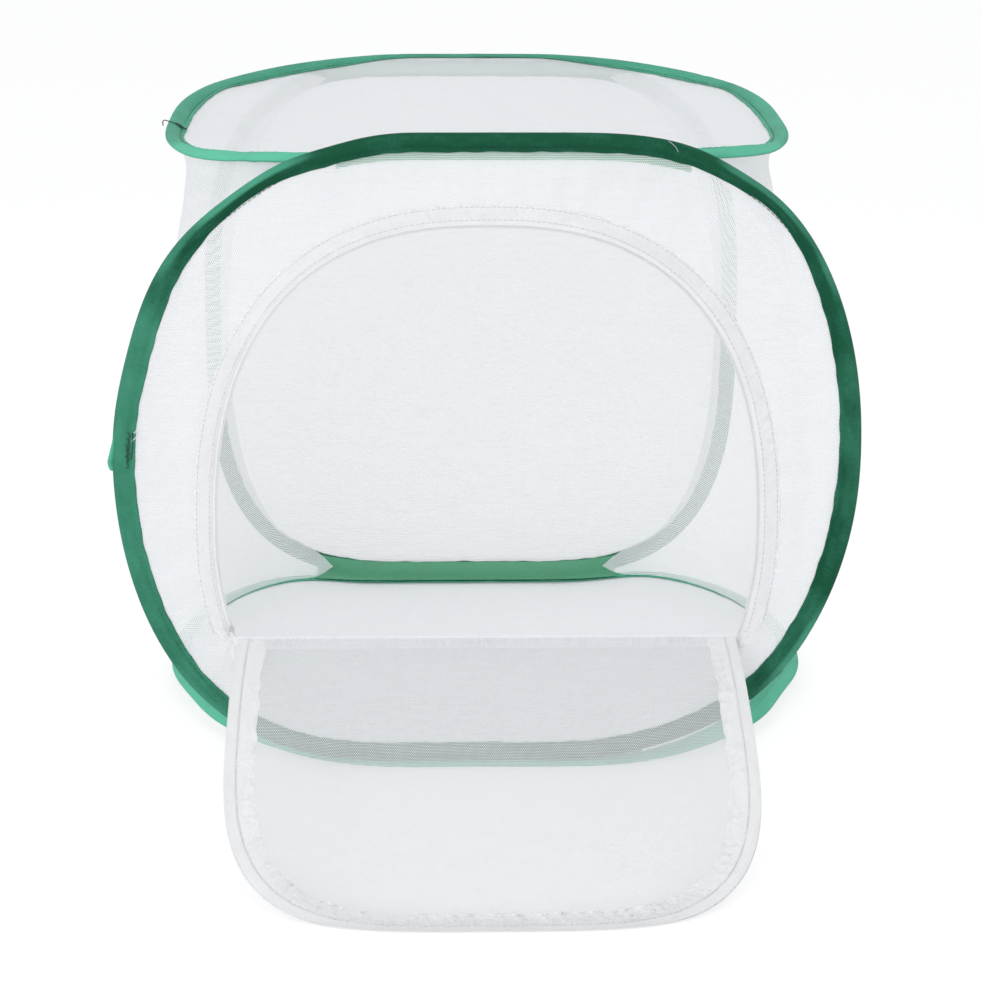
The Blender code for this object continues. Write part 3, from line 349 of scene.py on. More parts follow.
def woven_mesh_group():
    """Open mesh: ribs one way, finer threads the other, and slubs that thicken some of the ribs."""
    tree, wiring, given, out = effect_tree(
        "woven_mesh", {"Rib pitch": 0.00125, "Warp pitch": 0.0012, "Rib share": 0.46, "Warp share": 0.18},
        ("Coverage", "Height"))
    place = given["Vector"]
    across, along = wiring.node("ShaderNodeSeparateXYZ", {0: place}).outputs[:2]
    slubs = wiring.noise(place, 1.0, 1.0, stretch=(18.0, 700.0, 1.0))
    drift = wiring.noise(place, 1.0, 1.0, stretch=(60.0, 60.0, 1.0))
    bent = wiring.math("MULTIPLY_ADD", drift, 0.0012, along)
    rib_share = wiring.math("ADD", given["Rib share"], wiring.ramp(slubs, 0.3, 0.7, -0.05, 0.05))
    ribs = thread_rows(wiring, bent, given["Rib pitch"], rib_share)
    row = wiring.math("FLOOR", wiring.math("DIVIDE", bent, given["Rib pitch"]))
    odd = wiring.math("FRACT", wiring.math("MULTIPLY", row, 0.5))
    shifted = wiring.math("MULTIPLY_ADD", odd, given["Warp pitch"], across)
    warps = thread_rows(wiring, shifted, given["Warp pitch"], given["Warp share"])
    wiring.feed(out, {"Coverage": wiring.math("MAXIMUM", ribs, warps),
                      "Height": wiring.math("ADD", ribs, wiring.math("MULTIPLY", warps, 0.5))})
    return tree


def tape_weave_group():
    """Close weave of a tape: a fine twill, and the unevenness of its colour."""
    tree, wiring, given, out = effect_tree("tape_weave", {"Pitch": 0.00045}, ("Height", "Shade"))
    place = given["Vector"]
    across, along = wiring.node("ShaderNodeSeparateXYZ", {0: place}).outputs[:2]
    slant = wiring.math("ADD", across, along)
    twill = thread_rows(wiring, slant, given["Pitch"], 0.55)
    picks = thread_rows(wiring, along, given["Pitch"], 0.60)
    broad = wiring.noise(place, 1.0, 3.0, 0.6, stretch=(38.0, 130.0, 1.0))
    fine = wiring.noise(place, 1.0, 2.0, stretch=(900.0, 260.0, 1.0))
    blend = wiring.math("ADD", wiring.math("MULTIPLY", broad, 0.7), wiring.math("MULTIPLY", fine, 0.3))
    wiring.feed(out, {"Height": wiring.math("ADD", twill, wiring.math("MULTIPLY", picks, 0.4)), "Shade": blend})
    return tree


def cloth_creases_group():
    """Small creases that the shapes leave out."""
    tree, wiring, given, out = effect_tree("cloth_creases", {"Scale": 120.0}, ("Height",))
    soft = wiring.noise(given["Vector"], given["Scale"], 3.0, 0.55)
    ridge = wiring.math("ABSOLUTE", wiring.math("SUBTRACT", soft, 0.5))
    wiring.feed(out, {"Height": wiring.math("SUBTRACT", soft, ridge)})
    return tree


GROUPS = {}
FINISHES = {}

# By wall: the share of its pitch that a rib covers and a lengthwise thread covers, the ribs' pitch against the
# cage's, how much the gaps let through, greyed as painted shade on what is seen through them, how white the threads
# are, set wall by wall as painted light and shade on the one mesh, and how much light they pass
MESH_COVERS = (
    ("front_weave", 0.26, 0.47, 1.0, 1.0, 0.98, 0.40),
    ("back_weave", 0.62, 0.50, 1.0, 0.98, 0.95, 0.40),
    ("top_weave", 0.58, 0.40, 1.0, 1.0, 0.96, 0.40),
    ("base_weave", 0.66, 0.56, 1.0, 1.0, 1.0, 0.40),
    ("wall_weave", 0.58, 0.44, 1.0, 0.97, 0.99, 0.40),
    ("flap_weave", 0.28, 0.45, 1.0, 0.91, 0.91, 0.60),
    ("ruffle_weave", 0.34, 0.36, 1.0, 1.0, 1.0, 0.40),
)
# What is left of the mesh's cover for light that isn't seen directly
SHADE_SHARE = 0.30


def tone(share, colour):
    """A colour at a share of its strength."""
    return tuple(share * part for part in colour)


def woven(wiring, shader, weave_name, creases_scale, weave_height, bump_depth, **values):
    """Lay a weave along the cloth's own map and raise it, with small creases; gives what the weave gives."""
    place = wiring.node("ShaderNodeUVMap", uv_map="cloth")
    made = []
    for name, feeds in ((weave_name, values), ("cloth_creases", {"Scale": creases_scale})):
        made.append(wiring.node("ShaderNodeGroup", node_tree=GROUPS[name]))
        wiring.feed(made[-1], {"Vector": place, **{key.replace("_", " "): feeds[key] for key in feeds}})
    weave, creases = made[0].outputs, made[1].outputs
    height = wiring.math("ADD", wiring.math("MULTIPLY", weave["Height"], weave_height), creases["Height"])
    wiring.bump(shader, height, bump_depth)
    return weave


def mesh_finish(name, colour, rib_share, warp_share, pitch, clear, passing):
    """White insect mesh: threads that cover part of what is behind, and pass some light."""
    made, wiring, shader = material(name, colour, 0.55)
    weave = woven(wiring, shader, "woven_mesh", 70.0, 0.12, 0.0012, Rib_pitch=cloth().rib_pitch * pitch,
                  Warp_pitch=cloth().warp_pitch, Rib_share=rib_share, Warp_share=warp_share)
    through = wiring.node("ShaderNodeBsdfTranslucent", {"Color": (*colour, 1.0)})
    # The gaps' colour below white is painted shade on what is seen through the mesh.
    gaps = wiring.node("ShaderNodeBsdfTransparent", {"Color": (clear, clear, clear, 1.0)})
    kept = wiring.math("MULTIPLY_ADD", wiring.seen()["Is Camera Ray"], 1.0 - SHADE_SHARE, SHADE_SHARE)
    cover = wiring.math("MULTIPLY", weave["Coverage"], kept)
    wiring.surface(wiring.blended(cover, gaps, wiring.blended(passing, shader, through)))
    return made


def tape_finish(name, colour, light, roughness, sheen, bump_depth):
    """Closely woven tape, coloured with painted light: a share kept on each point mixes its green toward the lit
    green, and the weave adds a random tone.
    """
    made, wiring, shader = material(name, colour, roughness)
    weave = woven(wiring, shader, "tape_weave", 150.0, 0.10, bump_depth, Pitch=cloth().weave_pitch)
    painted_light_and_tone = wiring.node("ShaderNodeAttribute", attribute_name="painted_light_and_tone").outputs["Fac"]
    shade = wiring.ramp(weave["Shade"], 0.30, 0.70, -0.08, 0.08)
    share = wiring.math("ADD", painted_light_and_tone, shade, clamp=True)
    wiring.feed(shader, {"Base Color": wiring.mixed(share, colour, light), "Specular IOR Level": 0.15,
                         "Sheen Weight": sheen, "Sheen Roughness": 0.35, "Sheen Tint": (0.45, 1.0, 0.75, 1.0)})
    return made


def white_tape_finish(name, colour, roughness, creases_scale, bump_depth, passing):
    """White woven tape or hem, a little see-through against the light."""
    made, wiring, shader = material(name, colour, roughness)
    weave = woven(wiring, shader, "tape_weave", creases_scale, 0.15, bump_depth, Pitch=0.0007)
    shade = wiring.ramp(weave["Shade"], 0.30, 0.70, 0.0, 1.0)
    wiring.feed(shader, {"Base Color": wiring.mixed(shade, tone(0.93, colour), colour)})
    through = wiring.node("ShaderNodeBsdfTranslucent", {"Color": (*colour, 1.0)})
    wiring.surface(wiring.blended(passing, shader, through))
    return made


def plain_finish(name, colour, roughness, metallic, grain_scale, grain_depth):
    """Moulded, painted or drawn material with a fine unevenness."""
    made, wiring, shader = material(name, colour, roughness, metallic)
    grain = wiring.noise(wiring.node("ShaderNodeTexCoord").outputs["Object"], grain_scale, 3.0)
    wiring.feed(shader, {"Base Color": wiring.mixed(grain, tone(0.9, colour), colour),
                         "Roughness": wiring.ramp(grain, 0.3, 0.7, roughness * 0.85, roughness * 1.15)})
    wiring.bump(shader, grain, grain_depth)
    return made


class CAGE_OT_finishes(bpy.types.Operator):
    """Make the cage's materials"""

    bl_idname = "cage.finishes"
    bl_label = "Finishes"

    def execute(self, context):
        """Build the shared effects, then each finish."""
        GROUPS.update(woven_mesh=woven_mesh_group(), tape_weave=tape_weave_group(),
                      cloth_creases=cloth_creases_group())
        paint = colours()
        for key, *given in (("binding", "binding_fabric", paint.binding, paint.binding_light, 0.60, 0.05, 0.0007),
                            ("joining", "joining_fabric", paint.joining, paint.binding_light, 0.65, 0.10, 0.0005)):
            FINISHES[key] = tape_finish(*given)
        # Each wall's white is the mesh's white scaled as painted light and shade for that wall.
        for name, rib_share, warp_share, pitch, clear, white, passing in MESH_COVERS:
            FINISHES[name] = mesh_finish(name, tone(white, paint.mesh), rib_share, warp_share, pitch, clear, passing)
        for key, *given in (("hem", "hem_fabric", paint.hem, 0.65, 420.0, 0.0010, 0.30),
                            ("tape", "zip_tape", paint.tape, 0.6, 240.0, 0.0004, 0.25),
                            # The door's half of the zip tape is a darker copy of the zip tape, as painted shade where
                            # the door lies facing the light.
                            ("door_tape", "door_tape", tone(0.86, paint.tape), 0.6, 240.0, 0.0004, 0.15)):
            FINISHES[key] = white_tape_finish(*given)
        for key, *given in (("coil", "zip_plastic", paint.coil, 0.35, 0.0, 900.0, 0.00005),
                            ("stop", "zip_stop", tone(0.6, paint.coil), 0.55, 0.0, 900.0, 0.00005),
                            ("thread", "dark_thread", paint.thread, 0.7, 0.0, 2500.0, 0.0001),
                            # White thread, greyed as painted shade so that its rows show as the shaded lines along the
                            # hems.
                            ("white_thread", "white_thread", (0.62, 0.62, 0.64), 0.6, 0.0, 2500.0, 0.0001),
                            ("slider", "slider_metal", paint.slider, 0.35, 0.0, 400.0, 0.00004),
                            ("steel", "spring_steel", (0.42, 0.43, 0.45), 0.35, 1.0, 600.0, 0.00003)):
            FINISHES[key] = plain_finish(*given)
        return {"FINISHED"}


def evenly(line, count, closed):
    """Points at even distances along a dense line."""
    if closed:
        line = np.vstack((line, line[:1]))
    steps = np.linalg.norm(np.diff(line, axis=0), axis=1)
    travelled = np.concatenate(([0.0], np.cumsum(steps)))
    places = (np.arange(count) + 0.5) / count if closed else np.linspace(0.0, 1.0, count)
    stations = places * travelled[-1]
    return np.column_stack([np.interp(stations, travelled, line[:, k]) for k in range(line.shape[1])])


def way_along(points, closed):
    """Unit vectors along a line of points."""
    way = np.roll(points, -1, axis=0) - np.roll(points, 1, axis=0) if closed else np.gradient(points, axis=0)
    return way / np.linalg.norm(way, axis=1)[:, None]


def right_hand(points, closed):
    """Unit normals on the right of the way along a flat line."""
    way = way_along(points, closed)
    return np.column_stack((way[:, 1], -way[:, 0]))


def rounded_quarter(half_width, half_height, run, powers):
    """A quarter of a rounded square, from the middle of its top edge to the middle of its side."""
    turn = np.linspace(0.0, QUARTER, FINE_STEPS)
    across = run + (half_width - run) * np.sin(turn) ** (2 / powers[0])
    along = half_height * np.maximum(np.cos(turn), 0.0) ** (2 / powers[1])
    return np.vstack(([[0.0, half_height]], np.column_stack((across, along))))


def soft_least(amount, limit):
    """The amount while it is small, and the limit once it is large."""
    return amount / np.sqrt(1.0 + (amount / limit) ** 2)


class Hoop:
    """A hoop in its own plane: u across, v along, w out of the cage."""

    def __init__(self, name, width, half_height, place):
        self.name = name
        self.half_width = width / 2
        self.half_height = half_height
        self.powers = HOOP_POWERS[name]
        self.shift = HOOP_SHIFTS[name]
        self.frame = Matrix.Translation((self.shift, 0.0, 0.0)) @ place
        self.neighbours = ()
        run = STRAIGHT_RUN / 2
        first, second = [rounded_quarter(self.half_width, half_height, run, pair) for pair in self.powers]
        right = np.vstack((first, second[-2::-1] * (1, -1)))
        left = np.vstack((first * (-1, -1), second[-2::-1] * (-1, 1)))
        self.outline = evenly(np.vstack((right, left[1:-1])), HOOP_STATIONS, True)
        self.inward = right_hand(self.outline, True)
        for across, up, reach, depth in DENTS.get(name, ()):
            self.outline = self.outline + self.inward * (depth * self.closeness(across, up, reach))[:, None]
        if name == "top":
            fore = np.clip(-self.outline[:, 1] / half_height, 0.0, 1.0)
            self.outline[:, 1] += TOP_SETBACK * fore
        self.inward = right_hand(self.outline, True)
        steps = np.linalg.norm(self.outline - np.roll(self.outline, -1, axis=0), axis=1)
        self.girth = float(steps.sum())
        self.along = np.arange(HOOP_STATIONS + 1) * self.girth / HOOP_STATIONS

    def fall(self, across, edge):
        """How far the rim has left its straight run at the +v or -v edge, at places across the cage."""
        u = across - self.shift
        first, second = self.powers
        pick = (u * edge > 0)
        one = np.where(pick, first[0], second[0])
        two = np.where(pick, first[1], second[1])
        run = STRAIGHT_RUN / 2
        share = np.clip((np.abs(u) - run) / (self.half_width - run), 0.0, 1.0)
        return self.half_height * (1.0 - (1.0 - share ** one) ** (1 / two))

    def sag(self, across, along):
        """How far this hoop sinks into the cage at places in its plane."""
        if not self.neighbours:
            return across * 0.0
        share = np.clip(0.5 + along / (2 * self.half_height), 0.0, 1.0)
        sunk = []
        for hoop, edge, limit, closing in self.neighbours:
            room = hoop.fall(across + self.shift, edge)
            if closing:
                room = np.minimum(room, self.fall(across + self.shift, 1) * FOLD_SLOPE_SHARE)
            if limit == TOP_SAG_FRONT:
                room = room + TOP_DROP
                for middle, reach, bulge in TOP_BULGES:
                    room = room + bulge * np.exp(-((across - middle) / reach) ** 2)
            sunk.append(soft_least(room, limit))
        return sunk[0] * (1.0 - share) + sunk[1] * share

    def closeness(self, across, up, reach, power=2):
        """How near the rim runs to a place, by station: 1 at the place, and 0 well past the reach."""
        away = np.hypot(self.outline[:, 0] - across, self.outline[:, 1] - up)
        return np.exp(-(away / reach) ** power)

    def spread(self, spots, power=2):
        """A value that is gathered round some spots, by station."""
        share = np.zeros(HOOP_STATIONS)
        for across, up, reach, amount in spots:
            share = share + amount * self.closeness(across, up, reach, power)
        return share

    def rim(self):
        """The rim, its inward way and its outward way, in the hoop's own frame."""
        u, v = self.outline.T
        rim = np.column_stack((u, v, -self.sag(u, v)))
        way = way_along(rim, True)
        inward = np.column_stack((self.inward, -self.spread(LEANS.get(self.name, ()), 4)))
        out = np.cross(inward, way)
        out = out / np.linalg.norm(out, axis=1)[:, None]
        return rim, inward, out * np.sign(out[:, 2])[:, None]

    def at(self, depth, lift):
        """The rim moved in by a depth and out of the cage by a lift, in the cage's frame."""
        rim, inward, out = self.rim()
        return placed(rim + inward * depth + out * lift, self.frame)

    def nearest(self, across, up):
        """The station of the rim nearest to a place in the hoop's plane."""
        return int(np.argmin(np.hypot(self.outline[:, 0] - across, self.outline[:, 1] - up)))

    def spot(self, station, depth, lift):
        """A point on the binding at a station."""
        rim, inward, out = self.rim()
        k = station % HOOP_STATIONS
        return placed((rim[k] + inward[k] * depth + out[k] * lift)[None], self.frame)[0]


def placed(points, matrix):
    """Points moved by a matrix."""
    turn = np.array(matrix.to_3x3())
    return points @ turn.T + np.array(matrix.translation)


HOOPS = {}


def turned(place, x_turn, z_turn=0.0):
    """The frame of a hoop: its middle, and how it is turned."""
    turn = Matrix.Rotation(z_turn, 4, "Z") @ Matrix.Rotation(x_turn, 4, "X")
    return Matrix.Translation(place) @ turn


def lay_out_hoops():
    """Work out the four hoops from the cage's sizes."""
    size = sizes()
    half_depth, half_binding = size.depth / 2, size.binding_thickness / 2
    upright = size.height / 2 - size.binding_thickness - size.seam_gap
    HOOPS["front"] = Hoop("front", size.front_width, upright,
                          turned((0.0, -half_depth + half_binding, size.height / 2), QUARTER))
    HOOPS["back"] = Hoop("back", size.back_width, upright,
                         turned((0.0, half_depth - half_binding, size.height / 2), QUARTER, math.pi))
    HOOPS["top"] = Hoop("top", size.top_width, half_depth, turned((0.0, 0.0, size.height - half_binding), 0.0))
    HOOPS["base"] = Hoop("base", size.base_width, half_depth, turned((0.0, 0.0, half_binding), math.pi))
    front, back = HOOPS["front"], HOOPS["back"]
    HOOPS["top"].neighbours = ((front, 1, TOP_SAG_FRONT, False), (back, 1, TOP_SAG_BACK, True))
    HOOPS["base"].neighbours = ((back, -1, BASE_LIFT_BACK, False), (front, -1, BASE_LIFT_FRONT, True))


def wander(share, waves, seed):
    """A smooth random line that closes on itself, between about -1 and 1, for shares from 0 to 1."""
    dice = np.random.default_rng(seed)
    line = np.zeros_like(share)
    for wave in waves:
        line += np.sin(2 * math.pi * (wave * share + dice.random())) * dice.uniform(0.6, 1.0)
    return line / max(len(waves) ** 0.5, 1.0)


def sheet_mesh(name, grid, flat, loop=False, painted_light_and_tone=None):
    """A sheet from rows and columns of points, with its flat places as the map of the cloth."""
    rows, columns = grid.shape[:2]
    mesh = bpy.data.meshes.new(name)
    cells = columns if loop else columns - 1
    row, column = np.meshgrid(np.arange(rows - 1), np.arange(cells), indexing="ij")
    row, column = row.ravel(), column.ravel()
    after = (column + 1) % columns
    corners = np.column_stack((row * columns + column, row * columns + after, (row + 1) * columns + after,
                               (row + 1) * columns + column))
    mesh.vertices.add(rows * columns)
    mesh.vertices.foreach_set("co", grid.reshape(-1).astype(np.float32))
    mesh.loops.add(corners.size)
    mesh.loops.foreach_set("vertex_index", corners.ravel().astype(np.int32))
    mesh.polygons.add(len(corners))
    mesh.polygons.foreach_set("loop_start", np.arange(0, corners.size, 4, dtype=np.int32))
    mesh.update(calc_edges=True)
    wide = flat.shape[1]
    right = column + 1
    places = np.column_stack((row * wide + column, row * wide + right, (row + 1) * wide + right,
                              (row + 1) * wide + column)).ravel()
    layer = mesh.uv_layers.new(name="cloth")
    layer.data.foreach_set("uv", flat.reshape(-1, 2)[places].ravel().astype(np.float32))
    # Painted light, with a little random tone: the share by which a tape's colour is mixed toward its lit green.
    if painted_light_and_tone is not None:
        attribute = mesh.attributes.new("painted_light_and_tone", "FLOAT", "POINT")
        attribute.data.foreach_set("value", painted_light_and_tone.ravel().astype(np.float32))
    mesh.validate()
    mesh.shade_smooth()
    return mesh


def piece(name, mesh, finish, body, replaces=()):
    """A piece of the cage: its mesh, finish, body and the solids that it stands for."""
    item = bpy.data.objects.new(name, mesh)
    bpy.context.scene.collection.objects.link(item)
    mesh.materials.clear()
    mesh.materials.append(FINISHES[finish])
    if body:
        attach(item, body)
    if replaces:
        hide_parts(*replaces)
    return item


def tube_mesh(name, points, radius):
    """A thread along a line of points."""
    data = bpy.data.curves.new(name, "CURVE")
    data.dimensions = "3D"
    line = data.splines.new("NURBS")
    line.points.add(len(points) - 1)
    for target, point in zip(line.points, points):
        target.co = (*point, 1.0)
    line.use_endpoint_u = True
    line.order_u = 3
    data.resolution_u = 4
    data.bevel_depth = radius
    data.bevel_resolution = 1
    data.use_fill_caps = True
    item = bpy.data.objects.new(name, data)
    bpy.context.scene.collection.objects.link(item)
    mesh = bpy.data.meshes.new_from_object(item.evaluated_get(bpy.context.evaluated_depsgraph_get()))
    bpy.data.objects.remove(item, do_unlink=True)
    mesh.shade_smooth()
    return mesh


def joined_mesh(name, meshes):
    """Several meshes as one."""
    corners, faces, start = [], [], 0
    for mesh in meshes:
        corners += [tuple(vertex.co) for vertex in mesh.vertices]
        faces += [tuple(start + k for k in face.vertices) for face in mesh.polygons]
        start += len(mesh.vertices)
    whole = bpy.data.meshes.new(name)
    whole.from_pydata(corners, [], faces)
    whole.shade_smooth()
    return whole


# The binding's own marks, by hoop: where one end of the tape overlaps the other, across and up
OVERLAPS = {"front": (-0.2115, -0.006), "top": (-0.187, -0.014)}


# The gathers of a binding round its bends, how many wrinkles it has, and how far an overlap's step fades
GATHER_PITCH = 0.0062
GATHER_HEIGHT = 0.00028
TAPE_WRINKLES = 70
OVERLAP_FADE = 0.045
OVERLAP_STEP = 0.00065


def rolled_share(hoop):
    """How far the binding is rolled over at each station."""
    share = np.zeros(HOOP_STATIONS)
    for across, up, reach, amount in ROLLED[hoop.name]:
        share = np.maximum(share, amount * hoop.closeness(across, up, reach, 4))
    return share


def tape_wrinkles(hoop, depth, face, seed):
    """Lift of the binding's wrinkles, by station and place in its section."""
    dice = np.random.default_rng(seed)
    places = np.arange(HOOP_STATIONS) / HOOP_STATIONS
    bend = np.linalg.norm(np.roll(hoop.inward, -1, axis=0) - np.roll(hoop.inward, 1, axis=0), axis=1)
    bend = np.clip(bend / (2 * hoop.girth / HOOP_STATIONS) * 0.085, 0.0, 1.3)
    mouth = np.clip(depth / 0.0108, 0.0, 1.0)
    pitch = 2 * math.pi * (hoop.girth / GATHER_PITCH)
    phase = pitch * places + 2.2 * wander(places, (23, 41, 67), seed + 1)
    lift = np.sin(phase)[:, None] * bend[:, None] * mouth[None, :] ** 2 * GATHER_HEIGHT
    for _ in range(TAPE_WRINKLES):
        start = dice.random()
        slope = dice.uniform(-1.6, 1.6)
        width = dice.uniform(0.0012, 0.0034)
        height = dice.uniform(-0.00042, 0.00042)
        middle, reach = dice.uniform(0.0015, 0.0085), dice.uniform(0.0025, 0.0060)
        gap = (places[:, None] - start + 0.5) % 1.0 - 0.5
        slanted = gap * hoop.girth + slope * (depth[None, :] - middle)
        across = np.exp(-((depth[None, :] - middle) / reach) ** 2)
        lift = lift + height * np.exp(-(slanted / width) ** 2) * across * (0.45 + bend[:, None])
    lift = lift + 0.00016 * wander(places, (9, 17, 29, 53), seed + 2)[:, None] * mouth[None, :]
    return lift * face[None, :]


def overlap_lift(hoop):
    """How far the tape's upper end lies above the under one, by station: a step, then a slow fade."""
    if hoop.name not in OVERLAPS:
        return np.zeros(HOOP_STATIONS)
    start = hoop.nearest(*OVERLAPS[hoop.name])
    ahead = (np.arange(HOOP_STATIONS) - start) % HOOP_STATIONS
    reach = ahead * hoop.girth / HOOP_STATIONS
    return np.where(reach < OVERLAP_FADE, OVERLAP_STEP * (1.0 - reach / OVERLAP_FADE), 0.0)


def binding_mesh(hoop, seed):
    """The folded tape round a hoop."""
    rim, inward, out = hoop.rim()
    smooth, ridged = np.array(SMOOTH_SECTION), np.array(RIDGED_SECTION)
    roll = rolled_share(hoop)
    places = np.arange(HOOP_STATIONS) / HOOP_STATIONS
    section = smooth[None] * (1 - roll)[:, None, None] + ridged[None] * roll[:, None, None]
    section = section * MILLIMETRE
    face = np.sign(smooth[:, 1]) * np.clip(np.abs(smooth[:, 1]) / 0.5, 0.0, 1.0)
    depth = section[:, :, 0] * (1.0 + hoop.spread(BREADTHS.get(hoop.name, ())))[:, None]
    edge = np.clip((depth - 0.006) / 0.0048, 0.0, 1.0)
    uneven = 0.00030 * wander(places, (13, 31, 58, 90), seed + 5)
    depth = depth + uneven[:, None] * edge
    lift = section[:, :, 1] + tape_wrinkles(hoop, smooth[:, 0] * MILLIMETRE, face, seed)
    if hoop.name == "base":
        lift = -lift
    lift = lift + overlap_lift(hoop)[:, None] * face[None]
    points = rim[:, None] + inward[:, None] * depth[:, :, None] + out[:, None] * lift[:, :, None]
    grid = placed(points.reshape(-1, 3), hoop.frame).reshape(points.shape)
    tape = np.concatenate(([0.0], np.cumsum(np.linalg.norm(np.diff(smooth, axis=0), axis=1)))) * MILLIMETRE
    grid = np.swapaxes(grid, 0, 1)
    along = np.broadcast_to(hoop.along[None, :], (len(tape), HOOP_STATIONS + 1))
    flat = np.dstack((along, np.broadcast_to(tape[:, None], along.shape)))
    # Painted highlight: the outer half of a rolled binding is mixed toward the lit green, less on the front hoop.
    outer = np.clip((6.4 - ridged[:, 0]) / 0.8, 0.0, 1.0) * (ridged[:, 1] > -1.0)
    if hoop.name == "front":
        outer = outer * np.clip((5.0 - ridged[:, 0]) / 1.4, 0.0, 1.0)
    painted_light_and_tone = roll[None, :] * outer[:, None] * (0.55 if hoop.name == "front" else 0.75)
    # A little random tone along the tape.
    painted_light_and_tone = painted_light_and_tone + 0.05 * np.clip(wander(places, (7, 11, 19, 37), seed + 7), -1, 1)[None, :]
    u, v = hoop.outline[:, 0] / hoop.half_width, hoop.outline[:, 1] / hoop.half_height
    # Painted light and shade by hoop, as light falls on each: the front hoop darkest at its top and darker to its
    # right and low down, the back hoop even, the top hoop light but darker over its back middle, and the base hoop
    # lightest.
    painted_light_by_hoop = {
        "front": 0.22 - 0.12 * u - 0.40 * np.exp(-((1.0 - v) / 0.45) ** 2) - 0.08 * np.clip(-v, 0, 1),
        "back": 0.25 + 0.0 * u,
        "top": 0.68 + 0.02 * u - 0.18 * (v > 0) * np.exp(-(u / 0.7) ** 2),
        "base": 0.96 - 0.10 * u,
    }
    painted_light_and_tone = painted_light_and_tone + painted_light_by_hoop[hoop.name][None, :]
    return sheet_mesh(hoop.name + "_tape", grid, flat, loop=True, painted_light_and_tone=np.clip(painted_light_and_tone, 0.0, 1.0))


WIRE_DEPTH = 0.0037
WIRE_HALVES = (0.0018, 0.0004)
FERRULE_HALVES = (0.0024, 0.00095)


def bar_mesh(hoop, stations, halves, closed):
    """A flat bar inside the binding, along some of the hoop's stations."""
    rim, inward, out = hoop.rim()
    picked = np.array(list(stations)) % HOOP_STATIONS
    reach, thick = halves
    rows = []
    for across, lift in ((-reach, -thick), (reach, -thick), (reach, thick), (-reach, thick), (-reach, -thick)):
        line = rim[picked] + inward[picked] * (WIRE_DEPTH + across) + out[picked] * lift
        rows.append(placed(line, hoop.frame))
    grid = np.array(rows)
    count = len(picked) + (1 if closed else 0)
    flat = np.zeros((len(rows), count, 2))
    return sheet_mesh("bar", grid, flat, loop=closed)


class CAGE_OT_bindings(bpy.types.Operator):
    """Fold the green tape over the four hoops"""

    bl_idname = "cage.bindings"
    bl_label = "Bindings"

    def execute(self, context):
        """Make one binding for each hoop."""
        for seed, hoop in enumerate(HOOPS.values()):
            mesh = binding_mesh(hoop, 40 + 11 * seed)
            item = piece(hoop.name + "_bound_tape", mesh, "binding", hoop.name, (hoop.name + "_binding",))
            wire = bar_mesh(hoop, range(0, HOOP_STATIONS, 3), WIRE_HALVES, True)
            piece(hoop.name + "_spring_wire", wire, "steel", hoop.name, (hoop.name + "_hoop_wire",))
            low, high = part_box(hoop.name + "_hoop_ferrule")
            middle = (low + high) / 2
            line = hoop.at(WIRE_DEPTH, 0.0)
            start = int(np.argmin(np.linalg.norm(line - np.array(middle), axis=1)))
            sleeve = bar_mesh(hoop, range(start - 4, start + 5), FERRULE_HALVES, False)
            piece(hoop.name + "_crimped_ferrule", sleeve, "steel", hoop.name, (hoop.name + "_hoop_ferrule",))
        return {"FINISHED"}


def ring_heights(rim, heights, places):
    """Heights inside a closed rim, carried in smoothly from the heights on it."""
    made = np.zeros(len(places))
    for k, place in enumerate(places):
        spokes = rim - place
        length = np.maximum(np.linalg.norm(spokes, axis=1), 1e-6)
        unit = spokes / length[:, None]
        after = np.roll(unit, -1, axis=0)
        turn = np.arctan2(unit[:, 0] * after[:, 1] - unit[:, 1] * after[:, 0], (unit * after).sum(axis=1))
        half = np.tan(turn / 2)
        weight = (half + np.roll(half, 1)) / length
        made[k] = (weight * heights).sum() / weight.sum()
    return made


PANEL_TUCK = 0.0066
PANEL_RINGS = 44
PANEL_STATIONS = 240
BASE_BELLY = 0.0016
MOUTH_ROOM = 0.0006


def creased(u, v, creases):
    """Lift of straight creases in a panel: from, to, width and height of each."""
    lift = np.zeros_like(u)
    for first, second, width, height in creases:
        start, end = np.array(first), np.array(second)
        way = end - start
        reach = np.linalg.norm(way)
        way = way / reach
        ahead = (u - start[0]) * way[0] + (v - start[1]) * way[1]
        aside = (u - start[0]) * way[1] - (v - start[1]) * way[0]
        fade = np.clip(ahead / (0.2 * reach), 0, 1) * np.clip((reach - ahead) / (0.2 * reach), 0, 1)
        lift = lift + height * np.exp(-(aside / width) ** 2) * fade
    return lift


